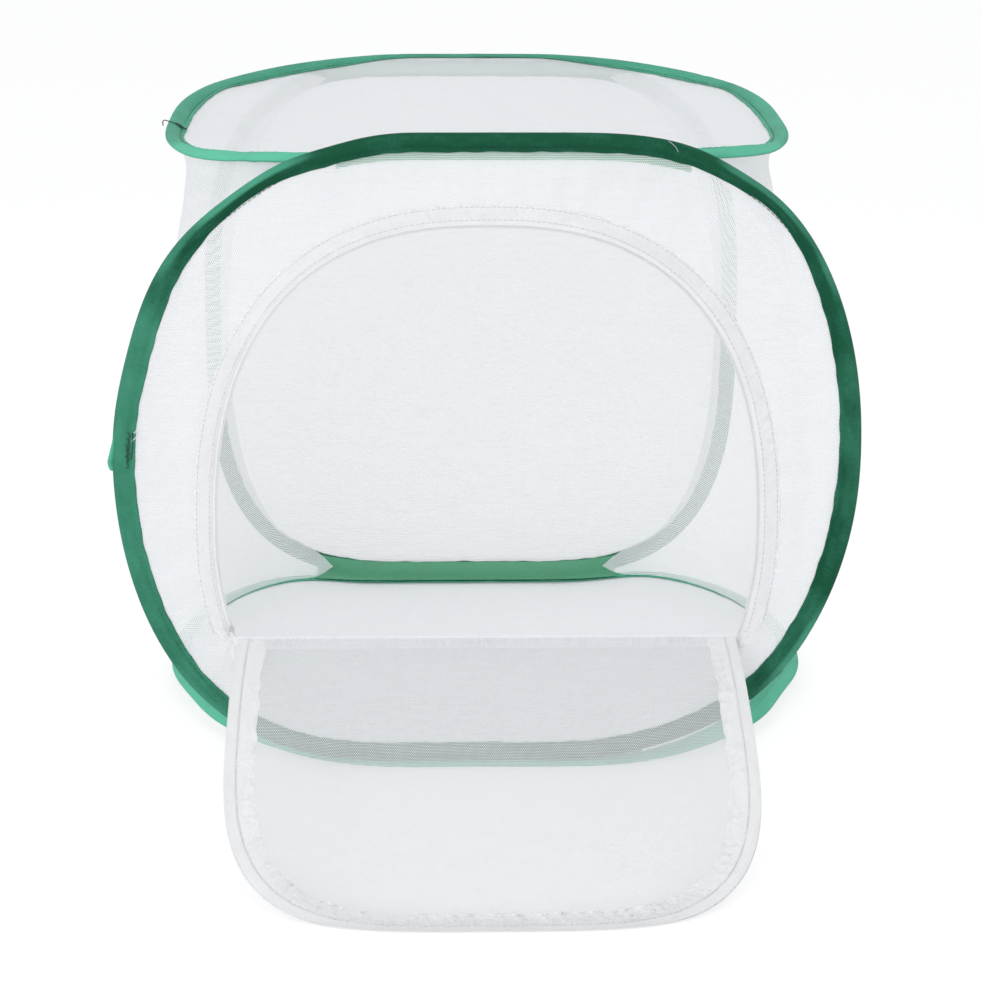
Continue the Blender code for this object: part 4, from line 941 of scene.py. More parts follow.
def hoop_panel_mesh(hoop, belly, creases, seed):
    """A panel stretched in a hoop: out of the binding's mouth, then as a soft saddle."""
    pick = np.arange(PANEL_STATIONS) * HOOP_STATIONS // PANEL_STATIONS
    rim, inward = [line[pick] for line in hoop.rim()[:2]]
    mouth = sizes().binding_width + MOUTH_ROOM
    first = rim + inward * PANEL_TUCK
    second = rim + inward * mouth
    shares = np.linspace(1.0, 0.0, PANEL_RINGS) ** 0.9
    rings = [first]
    rim_flat, rim_heights = second[:, :2], second[:, 2]
    dice = np.random.default_rng(seed)
    phases = dice.random(8) * 6.28
    for share in shares:
        flat = rim_flat * max(share, 0.002)
        heights = rim_heights if share == 1.0 else ring_heights(rim_flat, rim_heights, flat)
        u, v = flat.T
        inner = 1.0 - share ** 10
        soft = np.sin(u * 61 + phases[0] + 2 * np.sin(v * 23 + phases[1])) * np.sin(v * 47 + phases[2])
        lift = belly * inner + 0.0004 * soft * inner * (belly == 0.0) + creased(u, v, creases)
        rings.append(np.column_stack((u, v, heights + lift)))
    grid = np.array(rings)
    flat = grid[:, :, :2]
    flat = np.concatenate((flat, flat[:, :1]), axis=1)
    points = placed(grid.reshape(-1, 3), hoop.frame).reshape(grid.shape)
    return sheet_mesh(hoop.name + "_mesh", points, flat, loop=True)


TOP_CREASES = (
    ((-0.150, 0.050), (-0.075, 0.125), 0.0016, 0.0007),
    ((-0.140, 0.062), (-0.060, 0.135), 0.0014, -0.0006),
    ((-0.172, -0.060), (-0.110, -0.062), 0.0012, 0.0008),
    ((-0.170, -0.085), (-0.085, -0.092), 0.0018, 0.0009),
    ((-0.165, -0.110), (-0.095, -0.125), 0.0020, -0.0010),
    ((0.172, -0.060), (0.105, -0.062), 0.0012, 0.0008),
    ((0.168, -0.090), (0.085, -0.080), 0.0018, 0.0009),
    ((0.160, -0.115), (0.090, -0.135), 0.0020, 0.0010),
    ((0.120, -0.150), (0.060, -0.140), 0.0020, -0.0009),
    ((0.150, 0.060), (0.085, 0.120), 0.0018, 0.0006),
)


def declared(item):
    """Work out the size that a sheet's map shows it was cut to; the size is not kept, and the sheet comes back as it
    was.
    """
    corners = np.zeros(2 * len(item.data.loops), np.float32)
    item.data.uv_layers["cloth"].data.foreach_get("uv", corners)
    corners = corners.reshape(-1, 2)
    width, length = [float(span) for span in corners.max(axis=0) - corners.min(axis=0)]
    width, length = max(width, 0.011), max(length, 0.011)
    return item


def arch(width, length, power, fold_width):
    """The zip's line in the front plane, from the fold's right end over the top to its left end."""
    fold = fold_level()
    waist = length * WAIST_SHARE
    quarter = rounded_quarter(width / 2, length - waist, 0.0, (power, power))[1:]
    upper = quarter[::-1] + (0.0, fold + waist)
    rise = np.linspace(0.0, waist, WAIST_STATIONS)
    half = width / 2 - (width - fold_width) / 2 * (1.0 - rise / waist) ** 2
    lower = np.column_stack((half, fold + rise))
    right = np.vstack((lower[:-1], upper))
    whole = np.vstack((right, right[-2::-1] * (-1, 1)))
    points = evenly(whole, ARCH_STATIONS, False)
    outward = right_hand(points, False)
    outward[0], outward[-1] = (1.0, 0.0), (-1.0, 0.0)
    return points, outward


def fold_level():
    """The height of the door's fold in the front hoop's plane."""
    return sizes().fold_height - sizes().height / 2


def opening_arch():
    """The zip's line on the stretched front panel."""
    size = sizes()
    return arch(size.opening_width, size.opening_length, OPENING_POWER, size.fold_width)


def flap_arch():
    """The zip's line on the hanging door, whose cloth has drawn itself straight."""
    size = sizes()
    return arch(size.flap_width, size.flap_length, FLAP_POWER, size.fold_width)


def grid_at(place, grid):
    """A grid of points, moved by a function that moves a list of points."""
    return place(grid.reshape(-1, 3)).reshape(grid.shape)


def front_place(points):
    """Points of the front plane, in the cage's frame."""
    return placed(points, HOOPS["front"].frame)


def door_place(points):
    """Points of the closed door, turned down with it and laid on the ground."""
    size = sizes()
    axis = Matrix.Translation((0.0, -size.depth / 2 + size.binding_thickness / 2, size.fold_height))
    closed_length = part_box("door_panel")[0].y
    drop = size.fold_height - RESTING_HEIGHT
    reach = math.hypot(closed_length + size.depth / 2, drop)
    turn = QUARTER + math.asin(min(drop / max(reach, 0.1), 0.9))
    closed = front_place(points + np.array((0.0, 0.0, DOOR_LIFT)))
    moved = placed(closed, axis @ Matrix.Rotation(turn, 4, "X") @ axis.inverted())
    height = moved[:, 2] - FLOOR_CLEARANCE
    moved[:, 2] = FLOOR_CLEARANCE + (height + np.sqrt(height ** 2 + FLOOR_EASE ** 2)) / 2
    return moved


def loop_of(points, outward, inset, low):
    """A closed loop: the arch moved in, then straight back along the fold."""
    rim = points - outward * inset
    rim[:, 1] = np.maximum(rim[:, 1], low)
    foot = np.linspace(rim[-1], rim[0], FOOT_STATIONS)[1:-1]
    return np.vstack((rim, foot))


def polar_loop(loop, centre, angles):
    """Where rays from a centre meet a closed loop."""
    away = loop - centre
    turn = np.unwrap(np.arctan2(away[:, 1], away[:, 0]))
    if turn[-1] < turn[0]:
        away, turn = away[::-1], turn[::-1]
    turn = turn - turn[0]
    start = math.atan2(away[0, 1], away[0, 0])
    wanted = (angles - start) % (2 * math.pi)
    away = np.vstack((away, away[:1]))
    turn = np.concatenate((turn, [2 * math.pi]))
    return centre + np.column_stack([np.interp(wanted, turn, away[:, k]) for k in (0, 1)])


FRONT_RINGS = 26
FRONT_STATIONS = 480
OPENING_EASE = 0.0040  # how far the front panel ends outside the zip's line


def front_panel_mesh():
    """The front panel round its opening."""
    hoop = HOOPS["front"]
    points, outward = opening_arch()
    fold = fold_level()
    inner = loop_of(points, outward, -OPENING_EASE, fold)
    outer = hoop.outline + hoop.inward * PANEL_TUCK
    centre = np.array((0.0, fold + 0.10))
    angles = np.linspace(0.0, 2 * math.pi, FRONT_STATIONS, endpoint=False)
    near, far = polar_loop(inner, centre, angles), polar_loop(outer, centre, angles)
    shares = np.linspace(0.0, 1.0, FRONT_RINGS)
    grid = np.array([near * (1 - share) + far * share for share in shares])
    u, v = grid[:, :, 0], grid[:, :, 1]
    ease = (shares * (1 - shares) * 4)[:, None]
    pull = np.sin(angles * 37 + 3 * np.sin(angles * 5))[None, :]
    lift = 0.0006 * ease * pull + 0.0010 * ease * np.sin(u * 40 + 1.0) * np.sin(v * 52)
    flat = np.concatenate((grid, grid[:, :1]), axis=1)
    whole = np.dstack((u, v, lift))
    return sheet_mesh("front_mesh", grid_at(front_place, whole), flat, loop=True)


class CAGE_OT_panels(bpy.types.Operator):
    """Stretch the mesh in the four hoops"""

    bl_idname = "cage.panels"
    bl_label = "Mesh panels"

    def execute(self, context):
        """Make the front, back, top and base panels."""
        made = {
            "front": front_panel_mesh(),
            "back": hoop_panel_mesh(HOOPS["back"], 0.0, (), 5),
            "top": hoop_panel_mesh(HOOPS["top"], 0.0, TOP_CREASES, 9),
            "base": hoop_panel_mesh(HOOPS["base"], BASE_BELLY, (), 14),
        }
        for name, mesh in made.items():
            item = piece(name + "_mesh_panel", mesh, name + "_weave", name, (name + "_panel",))
            declared(item)
        return {"FINISHED"}


WALL_STARTS = {-1: 0.1000, 1: 0.0900}
WALL_TUCKS = {"front": 0.0082, "back": 0.0126, "base": 0.0136, "top": 0.0082}
# Where a side wall stands out fuller than its net would: place back, place up, reach, height, amount
WALL_FULLNESS = ((0.20, 0.84, 0.20, 0.16, 0.0150),)
WALL_CELLS = 56
WALL_EASING = 45
CORNER_SHARE = 0.05


def inner_line(hoop, side):
    """The line on a hoop's inner face that a side wall is sewn to, from its low or front end."""
    depth = sizes().binding_thickness / 2 + 0.00055
    line = hoop.at(WALL_TUCKS[hoop.name], -depth)
    picked = line[line[:, 0] * side > WALL_STARTS[side]]
    start = int(np.argmax(np.linalg.norm(np.diff(np.vstack((picked, picked[:1])), axis=0), axis=1)))
    picked = np.roll(picked, -(start + 1), axis=0)
    if (picked[-1] - picked[0])[1:].sum() < 0:
        picked = picked[::-1]
    return evenly(picked, WALL_CELLS + 1, False)


def pulled_to(line, start, end):
    """Ease a line's two ends onto the corners that it shares with its neighbours."""
    shares = np.linspace(0.0, 1.0, len(line))
    near = np.clip(1.0 - shares / CORNER_SHARE, 0.0, 1.0)[:, None] ** 2
    far = np.clip(1.0 - (1.0 - shares) / CORNER_SHARE, 0.0, 1.0)[:, None] ** 2
    return line + near * (start - line[0]) + far * (end - line[-1])


def wall_grid(side):
    """Points of a side wall, between the four hoops."""
    front, back, base, top = [inner_line(HOOPS[name], side) for name in ("front", "back", "base", "top")]
    corners = ((front[0] + base[0]) / 2, (front[-1] + top[0]) / 2, (back[0] + base[-1]) / 2,
               (back[-1] + top[-1]) / 2)
    front = pulled_to(front, corners[0], corners[1])
    back = pulled_to(back, corners[2], corners[3])
    base = pulled_to(base, corners[0], corners[2])
    top = pulled_to(top, corners[1], corners[3])
    s = np.linspace(0.0, 1.0, WALL_CELLS + 1)[:, None, None]
    t = np.linspace(0.0, 1.0, WALL_CELLS + 1)[None, :, None]
    along = (1 - s) * front[None] + s * back[None]
    upward = (1 - t) * base[:, None] + t * top[:, None]
    weight = t * (1 - t) + s * (1 - s)
    share = np.where(weight > 0, t * (1 - t) / np.maximum(weight, 1e-9), 0.5)
    grid = share * along + (1 - share) * upward
    for _ in range(WALL_EASING):
        mean = (grid[2:, 1:-1] + grid[:-2, 1:-1] + grid[1:-1, 2:] + grid[1:-1, :-2]) / 4
        grid[1:-1, 1:-1] = grid[1:-1, 1:-1] * 0.5 + mean * 0.5
    return grid


def cut_wall_meshes(side):
    """A side wall as two sheets that meet on its diagonal, from back and low to front and high."""
    grid = wall_grid(side)
    count = WALL_CELLS + 1
    rows, columns = np.meshgrid(np.arange(count), np.arange(count), indexing="ij")
    dice = np.random.default_rng(21 if side > 0 else 22)
    phases = dice.random(6) * 6.28
    s, t = rows / WALL_CELLS, columns / WALL_CELLS
    ease = np.clip(16 * s * (1 - s) * t * (1 - t), 0, 1)
    folds = np.sin(9 * (s + t) + phases[0] + 2 * np.sin(5 * s + phases[1]))
    small = np.sin(31 * s + phases[2]) * np.sin(23 * t + phases[3])
    grid[:, :, 0] += side * ease * (0.0010 * folds + 0.0003 * small)
    for place, rise, reach, height, full in WALL_FULLNESS:
        full_ease = np.clip(s / 0.10, 0, 1) * np.clip((1 - s) / 0.10, 0, 1) * np.clip((1 - t) / 0.08, 0, 1)
        grid[:, :, 0] += side * full * full_ease * np.exp(-((s - place) / reach) ** 2 - ((t - rise) / height) ** 2)
    along = np.concatenate((np.zeros((1, count)), np.cumsum(np.linalg.norm(np.diff(grid, axis=0), axis=2), 0)))
    upward = np.concatenate((np.zeros((count, 1)), np.cumsum(np.linalg.norm(np.diff(grid, axis=1), axis=2), 1)), 1)
    cut = np.dstack((along, upward)).reshape(-1, 2)
    made = []
    for name, inside in (("lower", rows + columns <= WALL_CELLS), ("upper", rows + columns >= WALL_CELLS)):
        faces = []
        for i in range(WALL_CELLS):
            for j in range(WALL_CELLS):
                loop = [(i, j), (i + 1, j), (i + 1, j + 1), (i, j + 1)]
                kept = [corner for corner in loop if inside[corner]]
                if len(kept) >= 3:
                    faces.append(tuple(a * count + b for a, b in (kept if side > 0 else kept[::-1])))
        used = sorted({k for face in faces for k in face})
        order = {k: n for n, k in enumerate(used)}
        corners = grid.reshape(-1, 3)[used]
        mesh = bpy.data.meshes.new(f"{name}_wall")
        mesh.from_pydata([tuple(corner) for corner in corners], [], [tuple(order[k] for k in f) for f in faces])
        layer = mesh.uv_layers.new(name="cloth")
        index = np.zeros(len(mesh.loops), np.int32)
        mesh.loops.foreach_get("vertex_index", index)
        layer.data.foreach_set("uv", cut[used][index].ravel().astype(np.float32))
        mesh.shade_smooth()
        made.append(mesh)
    return made


class CAGE_OT_walls(bpy.types.Operator):
    """Sew the two side walls to the hoops"""

    bl_idname = "cage.walls"
    bl_label = "Side walls"

    def execute(self, context):
        """Make each wall in two sheets, so that it can lie down as the cage folds."""
        for name, side in (("left", -1), ("right", 1)):
            lower, upper = cut_wall_meshes(side)
            low = piece(name + "_wall_lower", lower, "wall_weave", "base", (name + "_wall",))
            high = piece(name + "_wall_upper", upper, "wall_weave", "top", (name + "_wall",))
            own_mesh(low)
            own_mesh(high)
            declared(low)
            declared(high)
        return {"FINISHED"}


STRIP_SPANS = {"front_base": (0.190, -0.004), "back_base": (0.212, -0.0057), "front_top": (0.197, 0.014),
               "back_top": (0.195, 0.0)}
STRIP_LEG = 0.0080
SHOWN_LEG = 0.0048
STRIP_NAP = 0.15
STRIP_STATIONS = 96


def strip_grid(name, level, at_top, at_front):
    """Points of the tape folded into the corner between two hoops."""
    size = sizes()
    inset = size.binding_thickness + size.seam_gap + 0.0003
    inward = 1 if at_front else -1
    up = -1 if at_top else 1
    along = size.depth / 2 if at_front != at_top else -size.depth / 2
    floor = size.height if at_top else 0.0
    wall_y = -inward * size.depth / 2
    length, shift = STRIP_SPANS[name]
    across = np.linspace(-length / 2, length / 2, STRIP_STATIONS) + shift
    sunk = level.sag(across - level.shift, np.full_like(across, along))
    legs = (1.0, 0.66, 0.33, 0.08, 0.0, 0.0, 0.0, 0.0, 0.0)
    runs = (0.0, 0.0, 0.0, 0.0, 0.0, 0.08, 0.33, 0.66, 1.0)
    ripple = 0.00018 * np.sin(across * 900 + 2 * np.sin(across * 210))
    drop = np.full_like(across, 0.0108 if name == "back_base" else STRIP_LEG)
    if name == "front_top":
        front = HOOPS["front"]
        seam = size.height / 2 + front.half_height - front.fall(across, 1)
        drop = np.maximum(floor - inset - sunk - seam + size.binding_width + SHOWN_LEG, 0.002)
    reach = STRIP_LEG + (level.fall(across, -1) if name == "back_base" else 0.0 * across)
    rows = []
    for leg, run in zip(legs, runs):
        y = wall_y + inward * (inset + reach * run + ripple * leg)
        z = floor + up * (inset + sunk + drop * leg + ripple * run)
        rows.append(np.column_stack((across, np.broadcast_to(y, across.shape), z)))
    grid = np.array(rows)
    tape = np.array([-leg + run for leg, run in zip(legs, runs)]) * STRIP_LEG
    flat = np.dstack((np.broadcast_to(across, grid.shape[:2]), np.broadcast_to(tape[:, None], grid.shape[:2])))
    return grid, flat


class CAGE_OT_strips(bpy.types.Operator):
    """Sew the four joining tapes into the corners"""

    bl_idname = "cage.strips"
    bl_label = "Joining tapes"

    def execute(self, context):
        """Make the tapes; the back top one is made in two halves, its leg on the back hoop and its run on the top
        hoop, and the others are single sheets on no hoop.
        """
        for name, level, at_top, at_front, first, second in (
            ("front_base", HOOPS["base"], False, True, "base", "front"),
            ("back_base", HOOPS["base"], False, False, "base", "back"),
            ("front_top", HOOPS["top"], True, True, "top", "front"),
            ("back_top", HOOPS["top"], True, False, "top", None),
        ):
            grid, flat = strip_grid(name, level, at_top, at_front)
            painted_light_and_tone = np.full(grid.shape[:2], STRIP_NAP)
            node = name + "_joining_strip"
            if second is None:
                for label, rows, body in (("leg", grid[:5], "back"), ("run", grid[4:], "top")):
                    part = flat[:5] if label == "leg" else flat[4:]
                    mesh = sheet_mesh(name + label, rows, part, painted_light_and_tone=painted_light_and_tone[:len(rows)])
                    item = piece(f"{name}_joining_{label}", mesh, "joining", body, (node,))
                continue
            mesh = sheet_mesh(name, grid, flat, painted_light_and_tone=painted_light_and_tone)
            item = piece(name + "_joining_tape", mesh, "joining", None, (node,))
            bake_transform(item)
        return {"FINISHED"}


TAIL_STATIONS = 26
PUCKER_PITCH = 0.0078


def carried_down(points, length):
    """The arch carried on past the fold, in its own lean, at both ends."""
    steps = np.linspace(length, 0.0, TAIL_STATIONS, endpoint=False)[:, None]
    first, last = points[0] - points[3], points[-1] - points[-4]
    first, last = first / np.linalg.norm(first), last / np.linalg.norm(last)
    head, tail = points[0] + first * steps, points[-1] + last * steps[::-1]
    whole = np.vstack((head, points, tail))
    return whole, right_hand(whole, False)


def narrowed(along, length):
    """A share that fades to nothing at both ends of the arch."""
    near = np.minimum(along, along[-1] - along) / length
    return np.clip(near, 0.0, 1.0) ** 0.7


def band(points, outward, near, far, steps, low):
    """Rows of points along the arch, from one offset to another."""
    rows = np.array([points + outward * (near + (far - near) * share) for share in np.linspace(0.0, 1.0, steps)])
    rows[:, :, 1] = np.maximum(rows[:, :, 1], low)
    return rows


def arch_length(points):
    """The way along the arch at each of its points."""
    steps = np.linalg.norm(np.diff(points, axis=0), axis=1)
    return np.concatenate(([0.0], np.cumsum(steps)))


def puckered(rows, along, strength, seed):
    """Lift of a hem gathered by its stitching, by row and station."""
    dice = np.random.default_rng(seed)
    share = along / along[-1]
    phase = 2 * math.pi * along / PUCKER_PITCH + 2.6 * wander(share, (7, 13, 29), seed)
    coarse = np.sin(phase) + 0.5 * np.sin(2.3 * phase + 1.0)
    fine = np.sin(4.1 * phase + 2 * wander(share, (31, 53), seed + 1))
    swell = 0.6 + 0.4 * wander(share, (3, 5, 8), seed + 2)
    lift = []
    for k in range(rows):
        place = k / (rows - 1)
        shift = np.roll(coarse, int(3 * place * dice.uniform(0.5, 1.5)))
        lift.append(strength * swell * (shift * place ** 0.8 + 0.35 * fine * math.sin(math.pi * place)))
    return np.array(lift)


def band_piece(name, rows, lift, place, along, finish, body, node):
    """A strip of cloth along the arch, as a piece."""
    grid = np.dstack((rows[:, :, 0], rows[:, :, 1], lift))
    depth = np.linalg.norm(rows - rows[:1], axis=2)
    flat = np.dstack((np.broadcast_to(along, depth.shape), depth))
    mesh = sheet_mesh(name, grid_at(place, grid), flat)
    item = piece(name, mesh, finish, body, (node,))
    return item


TAIL_LENGTH = 0.015
# What is sewn round the opening and round the door: its near and far edge from the zip's line, and its rows
FRAME_HEM = (0.0038, 0.0132, 9)
FRAME_TAPE = (TAPE_INSET, 0.0128, 7)
DOOR_HEM = (-0.0062, -0.0172, 15)
DOOR_TAPE = (-TAPE_INSET, -0.0078, 7)
RAGGED = 0.0007  # how far a hem's free edge strays


def strayed(rows, outward, line):
    """A hem whose free edge strays along the arch's outward way by a line of lengths."""
    stray = line * np.linspace(0, 1, len(rows))[:, None] ** 2
    return rows + outward[None] * stray[:, :, None]


class CAGE_OT_opening(bpy.types.Operator):
    """Sew the hem and the zip's tape round the opening"""

    bl_idname = "cage.opening"
    bl_label = "Opening's edge"

    def execute(self, context):
        """Make the frame's hem and tape."""
        points, outward = carried_down(opening_arch()[0], TAIL_LENGTH)
        fold = fold_level() - TAIL_LENGTH
        along = arch_length(points)
        share = along / along[-1]
        rows = band(points, outward, *FRAME_HEM, fold)
        rows = strayed(rows, outward, RAGGED * wander(share, (71, 113, 167), 62))
        rows = rows[:1] + (rows - rows[:1]) * narrowed(along, 0.035)[None, :, None]
        ripple = puckered(len(rows), along, 0.00038, 61)
        band_piece("opening_hem", rows, HEM_LIFT + ripple, front_place, along, "hem", "front", "frame_hem")
        rows = band(points, outward, *FRAME_TAPE, fold)
        rows = rows[:1] + (rows - rows[:1]) * narrowed(along, 0.030)[None, :, None]
        weave = 0.00006 * np.sin(along * 700)[None, :] + np.zeros((len(rows), 1))
        band_piece("opening_zip_tape", rows, TAPE_LIFT + weave, front_place, along, "tape", "front",
                   "frame_zip_tape")
        return {"FINISHED"}


FLAP_RINGS = 40
PLEAT_PITCH = 0.0024
FLAP_EASE = 0.0085  # how far the door's mesh ends inside the zip's line


def flap_mesh():
    """The hanging door's mesh: gathered under the fold, slack in the middle."""
    points, outward = flap_arch()
    fold = fold_level()
    length = sizes().flap_length
    edge = loop_of(points, outward, FLAP_EASE, fold + 0.0004)
    centre = np.array((0.0, fold + length * 0.45))
    shares = np.linspace(1.0, 0.0, FLAP_RINGS) ** 0.85
    grid = np.array([centre + (edge - centre) * max(share, 0.003) for share in shares])
    u, v = grid[:, :, 0], grid[:, :, 1]
    rise = (v - fold) / length
    ease = np.clip((0.91 - shares) / 0.35, 0.0, 1.0)[:, None] ** 1.5
    slack = 0.0028 * np.sin(math.pi * np.clip(rise, 0, 1)) * ease
    gathers = 0.0009 * np.exp(-rise / 0.05) * np.sin(u * 1150 + 140 * (v - fold) * 9 + 2 * np.sin(u * 90))
    broad = 0.0012 * ease * np.sin(u * 31 + 4 * rise) * np.sin(rise * 9 + 1.3)
    lift = slack + gathers * (rise > 0.004) + broad
    whole = np.dstack((u, v, lift))
    flat = np.concatenate((grid, grid[:, :1]), axis=1)
    return sheet_mesh("flap_mesh", grid_at(door_place, whole), flat, loop=True)


def ruffle_mesh():
    """The gathers sewn along the fold: fine slanted pleats that fade down the door."""
    size = sizes()
    half = size.fold_width / 2 - 0.016
    rows, columns = 9, 1100
    across = np.linspace(-half, half, columns)
    fold = fold_level()
    share = (across + half) / (2 * half)
    swell = np.clip(0.62 + 0.55 * wander(share, (2, 5, 9), 91), 0.12, 1.2)
    grid = np.zeros((rows, columns, 3))
    for i, down in enumerate(np.linspace(0.0, 1.0, rows)):
        v = fold + 0.0006 + 0.0100 * down
        phase = 2 * math.pi * (across + 0.0030 * down) / PLEAT_PITCH + 2 * wander(share, (17, 29), 92)
        pleat = 0.00090 * np.maximum(np.sin(phase), -0.2) * swell * math.sin(math.pi * min(0.12 + down, 1.0))
        grid[i] = np.column_stack((across + 0.0008 * down, np.full(columns, v), -0.0006 - pleat))
    return sheet_mesh("ruffle", grid_at(door_place, grid), grid[:, :, :2])


class CAGE_OT_door(bpy.types.Operator):
    """Hang the door flap, with its puckered hem and half of the zip"""

    bl_idname = "cage.door"
    bl_label = "Door"

    def execute(self, context):
        """Make the door's mesh, hem and tape."""
        flap = piece("door_mesh", flap_mesh(), "flap_weave", "door", ("door_panel",))
        declared(flap)
        ruffle = piece("fold_gathers", ruffle_mesh(), "ruffle_weave", "door", ())
        points, outward = flap_arch()
        fold = fold_level()
        low = fold + 0.0012
        along = arch_length(points)
        rows = band(points, outward, *DOOR_HEM, low)
        share = along / along[-1]
        rows = strayed(rows, outward, -RAGGED * wander(share, (9, 17, 29, 43), 75))
        rows[:, :, 1] = np.maximum(rows[:, :, 1], low)
        strength = 0.0007 + 0.0005 * np.sin(math.pi * share) ** 2
        ripple = puckered(len(rows), along, 1.0, 77) * strength[None, :]
        band_piece("door_hem_gathered", rows, -0.0006 - np.abs(ripple) * 0.6 + ripple * 0.5, door_place, along,
                   "hem", "door", "door_hem")
        rows = band(points, outward, *DOOR_TAPE, low)
        weave = 0.00025 * wander(share, (11, 23, 31), 79)[None, :] * np.linspace(0, 1, len(rows))[:, None]
        band_piece("door_zip_half_tape", rows, TAPE_LIFT + weave, door_place, along, "door_tape", "door",
                   "door_zip_tape")
        return {"FINISHED"}


def line_tree(name, numbers, product):
    """A Geometry Nodes group that makes something of a line: also its wiring, its two ends and the line as a curve."""
    inputs = [("Line", "Geometry"), *numbers, ("Finish", "Material")]
    tree, wiring, given, out = group_tree(name, "GeometryNodeTree", inputs, [(product, "Geometry")])
    return tree, wiring, given, out, wiring.node("GeometryNodeMeshToCurve", {"Mesh": given["Line"]})


def finished(wiring, given, out, shape):
    """End a tree: make the shape's copies real and give them their material."""
    real = wiring.node("GeometryNodeRealizeInstances", {0: shape})
    wiring.feed(out, {0: wiring.node("GeometryNodeSetMaterial", {"Geometry": real, "Material": given["Finish"]})})


COIL_STEPS = 9.0  # points in one turn of the coil's filament


def coil_tree():
    """Geometry Nodes: winds a filament round a line, as a zip's coil."""
    numbers = (("Pitch", "Float", 0.0013), ("Width", "Float", 0.0021), ("Height", "Float", 0.0015),
               ("Radius", "Float", 0.0003), ("Length", "Float", 0.7))
    tree, wiring, given, out, curve = line_tree("wound_coil", numbers, "Coil")
    turns = wiring.math("DIVIDE", given["Length"], given["Pitch"])
    count = wiring.math("MULTIPLY", turns, COIL_STEPS)
    fine = wiring.node("GeometryNodeResampleCurve", {"Curve": curve, "Count": count}, mode="COUNT")
    place = wiring.node("GeometryNodeSplineParameter").outputs["Factor"]
    angle = wiring.math("MULTIPLY", wiring.math("MULTIPLY", place, turns), 2 * math.pi)
    swing = wiring.math("MULTIPLY", wiring.math("COSINE", angle), wiring.math("MULTIPLY", given["Width"], 0.5))
    rise = wiring.math("MULTIPLY", wiring.math("SINE", angle), wiring.math("MULTIPLY", given["Height"], 0.5))
    tangent = wiring.node("GeometryNodeInputTangent")
    aside = wiring.node("ShaderNodeVectorMath", {0: tangent, 1: (0.0, 0.0, 1.0)}, operation="CROSS_PRODUCT")
    across = wiring.node("ShaderNodeVectorMath", {0: aside, "Scale": swing}, operation="SCALE")
    lift = wiring.node("ShaderNodeCombineXYZ", {"Z": rise})
    offset = wiring.node("ShaderNodeVectorMath", {0: across, 1: lift}, operation="ADD")
    wound = wiring.node("GeometryNodeSetPosition", {"Geometry": fine, "Offset": offset})
    ring = wiring.node("GeometryNodeCurvePrimitiveCircle", {"Resolution": 5, "Radius": given["Radius"]})
    tube = wiring.node("GeometryNodeCurveToMesh", {"Curve": wound, "Profile Curve": ring, "Fill Caps": True})
    finished(wiring, given, out, tube)
    return tree


def stitch_tree():
    """Geometry Nodes: lays stitches end to end along a line."""
    numbers = (("Step", "Float", 0.0034), ("Stitch", "Float", 0.0024), ("Radius", "Float", 0.0002),
               ("Seed", "Int", 3))
    tree, wiring, given, out, curve = line_tree("stitch_row", numbers, "Stitches")
    spots = wiring.node("GeometryNodeCurveToPoints", {"Curve": curve, "Length": given["Step"]}, mode="LENGTH")
    stitch = wiring.node("GeometryNodeMeshCylinder", {"Vertices": 6, "Side Segments": 1,
                                                      "Radius": given["Radius"], "Depth": given["Stitch"]})
    least, most = (0.75, 0.75, 0.85), (1.25, 1.25, 1.10)
    wobble = wiring.node("FunctionNodeRandomValue", {0: least, 1: most, "Seed": given["Seed"]},
                         data_type="FLOAT_VECTOR")
    laid = wiring.node("GeometryNodeInstanceOnPoints", {"Points": spots.outputs["Points"], "Instance": stitch,
                                                        "Rotation": spots.outputs["Rotation"], "Scale": wobble})
    finished(wiring, given, out, laid)
    return tree


def grown(name, lines, tree, values):
    """Run a Geometry Nodes tree on lines of points and keep the result as a mesh."""
    data = bpy.data.meshes.new(name + "_line")
    corners, edges = [], []
    for line, closed in lines:
        start = len(corners)
        corners += [tuple(point) for point in line]
        edges += [(start + k, start + k + 1) for k in range(len(line) - 1)]
        if closed:
            edges.append((start + len(line) - 1, start))
    data.from_pydata(corners, edges, [])
    item = bpy.data.objects.new(name + "_guide", data)
    bpy.context.scene.collection.objects.link(item)
    step = item.modifiers.new("grow", "NODES")
    step.node_group = tree
    for socket in tree.interface.items_tree:
        if socket.item_type == "SOCKET" and socket.in_out == "INPUT" and socket.name in values:
            step[socket.identifier] = values[socket.name]
    mesh = bpy.data.meshes.new_from_object(item.evaluated_get(bpy.context.evaluated_depsgraph_get()))
    mesh.name = name
    bpy.data.objects.remove(item, do_unlink=True)
    mesh.shade_smooth()
    return mesh


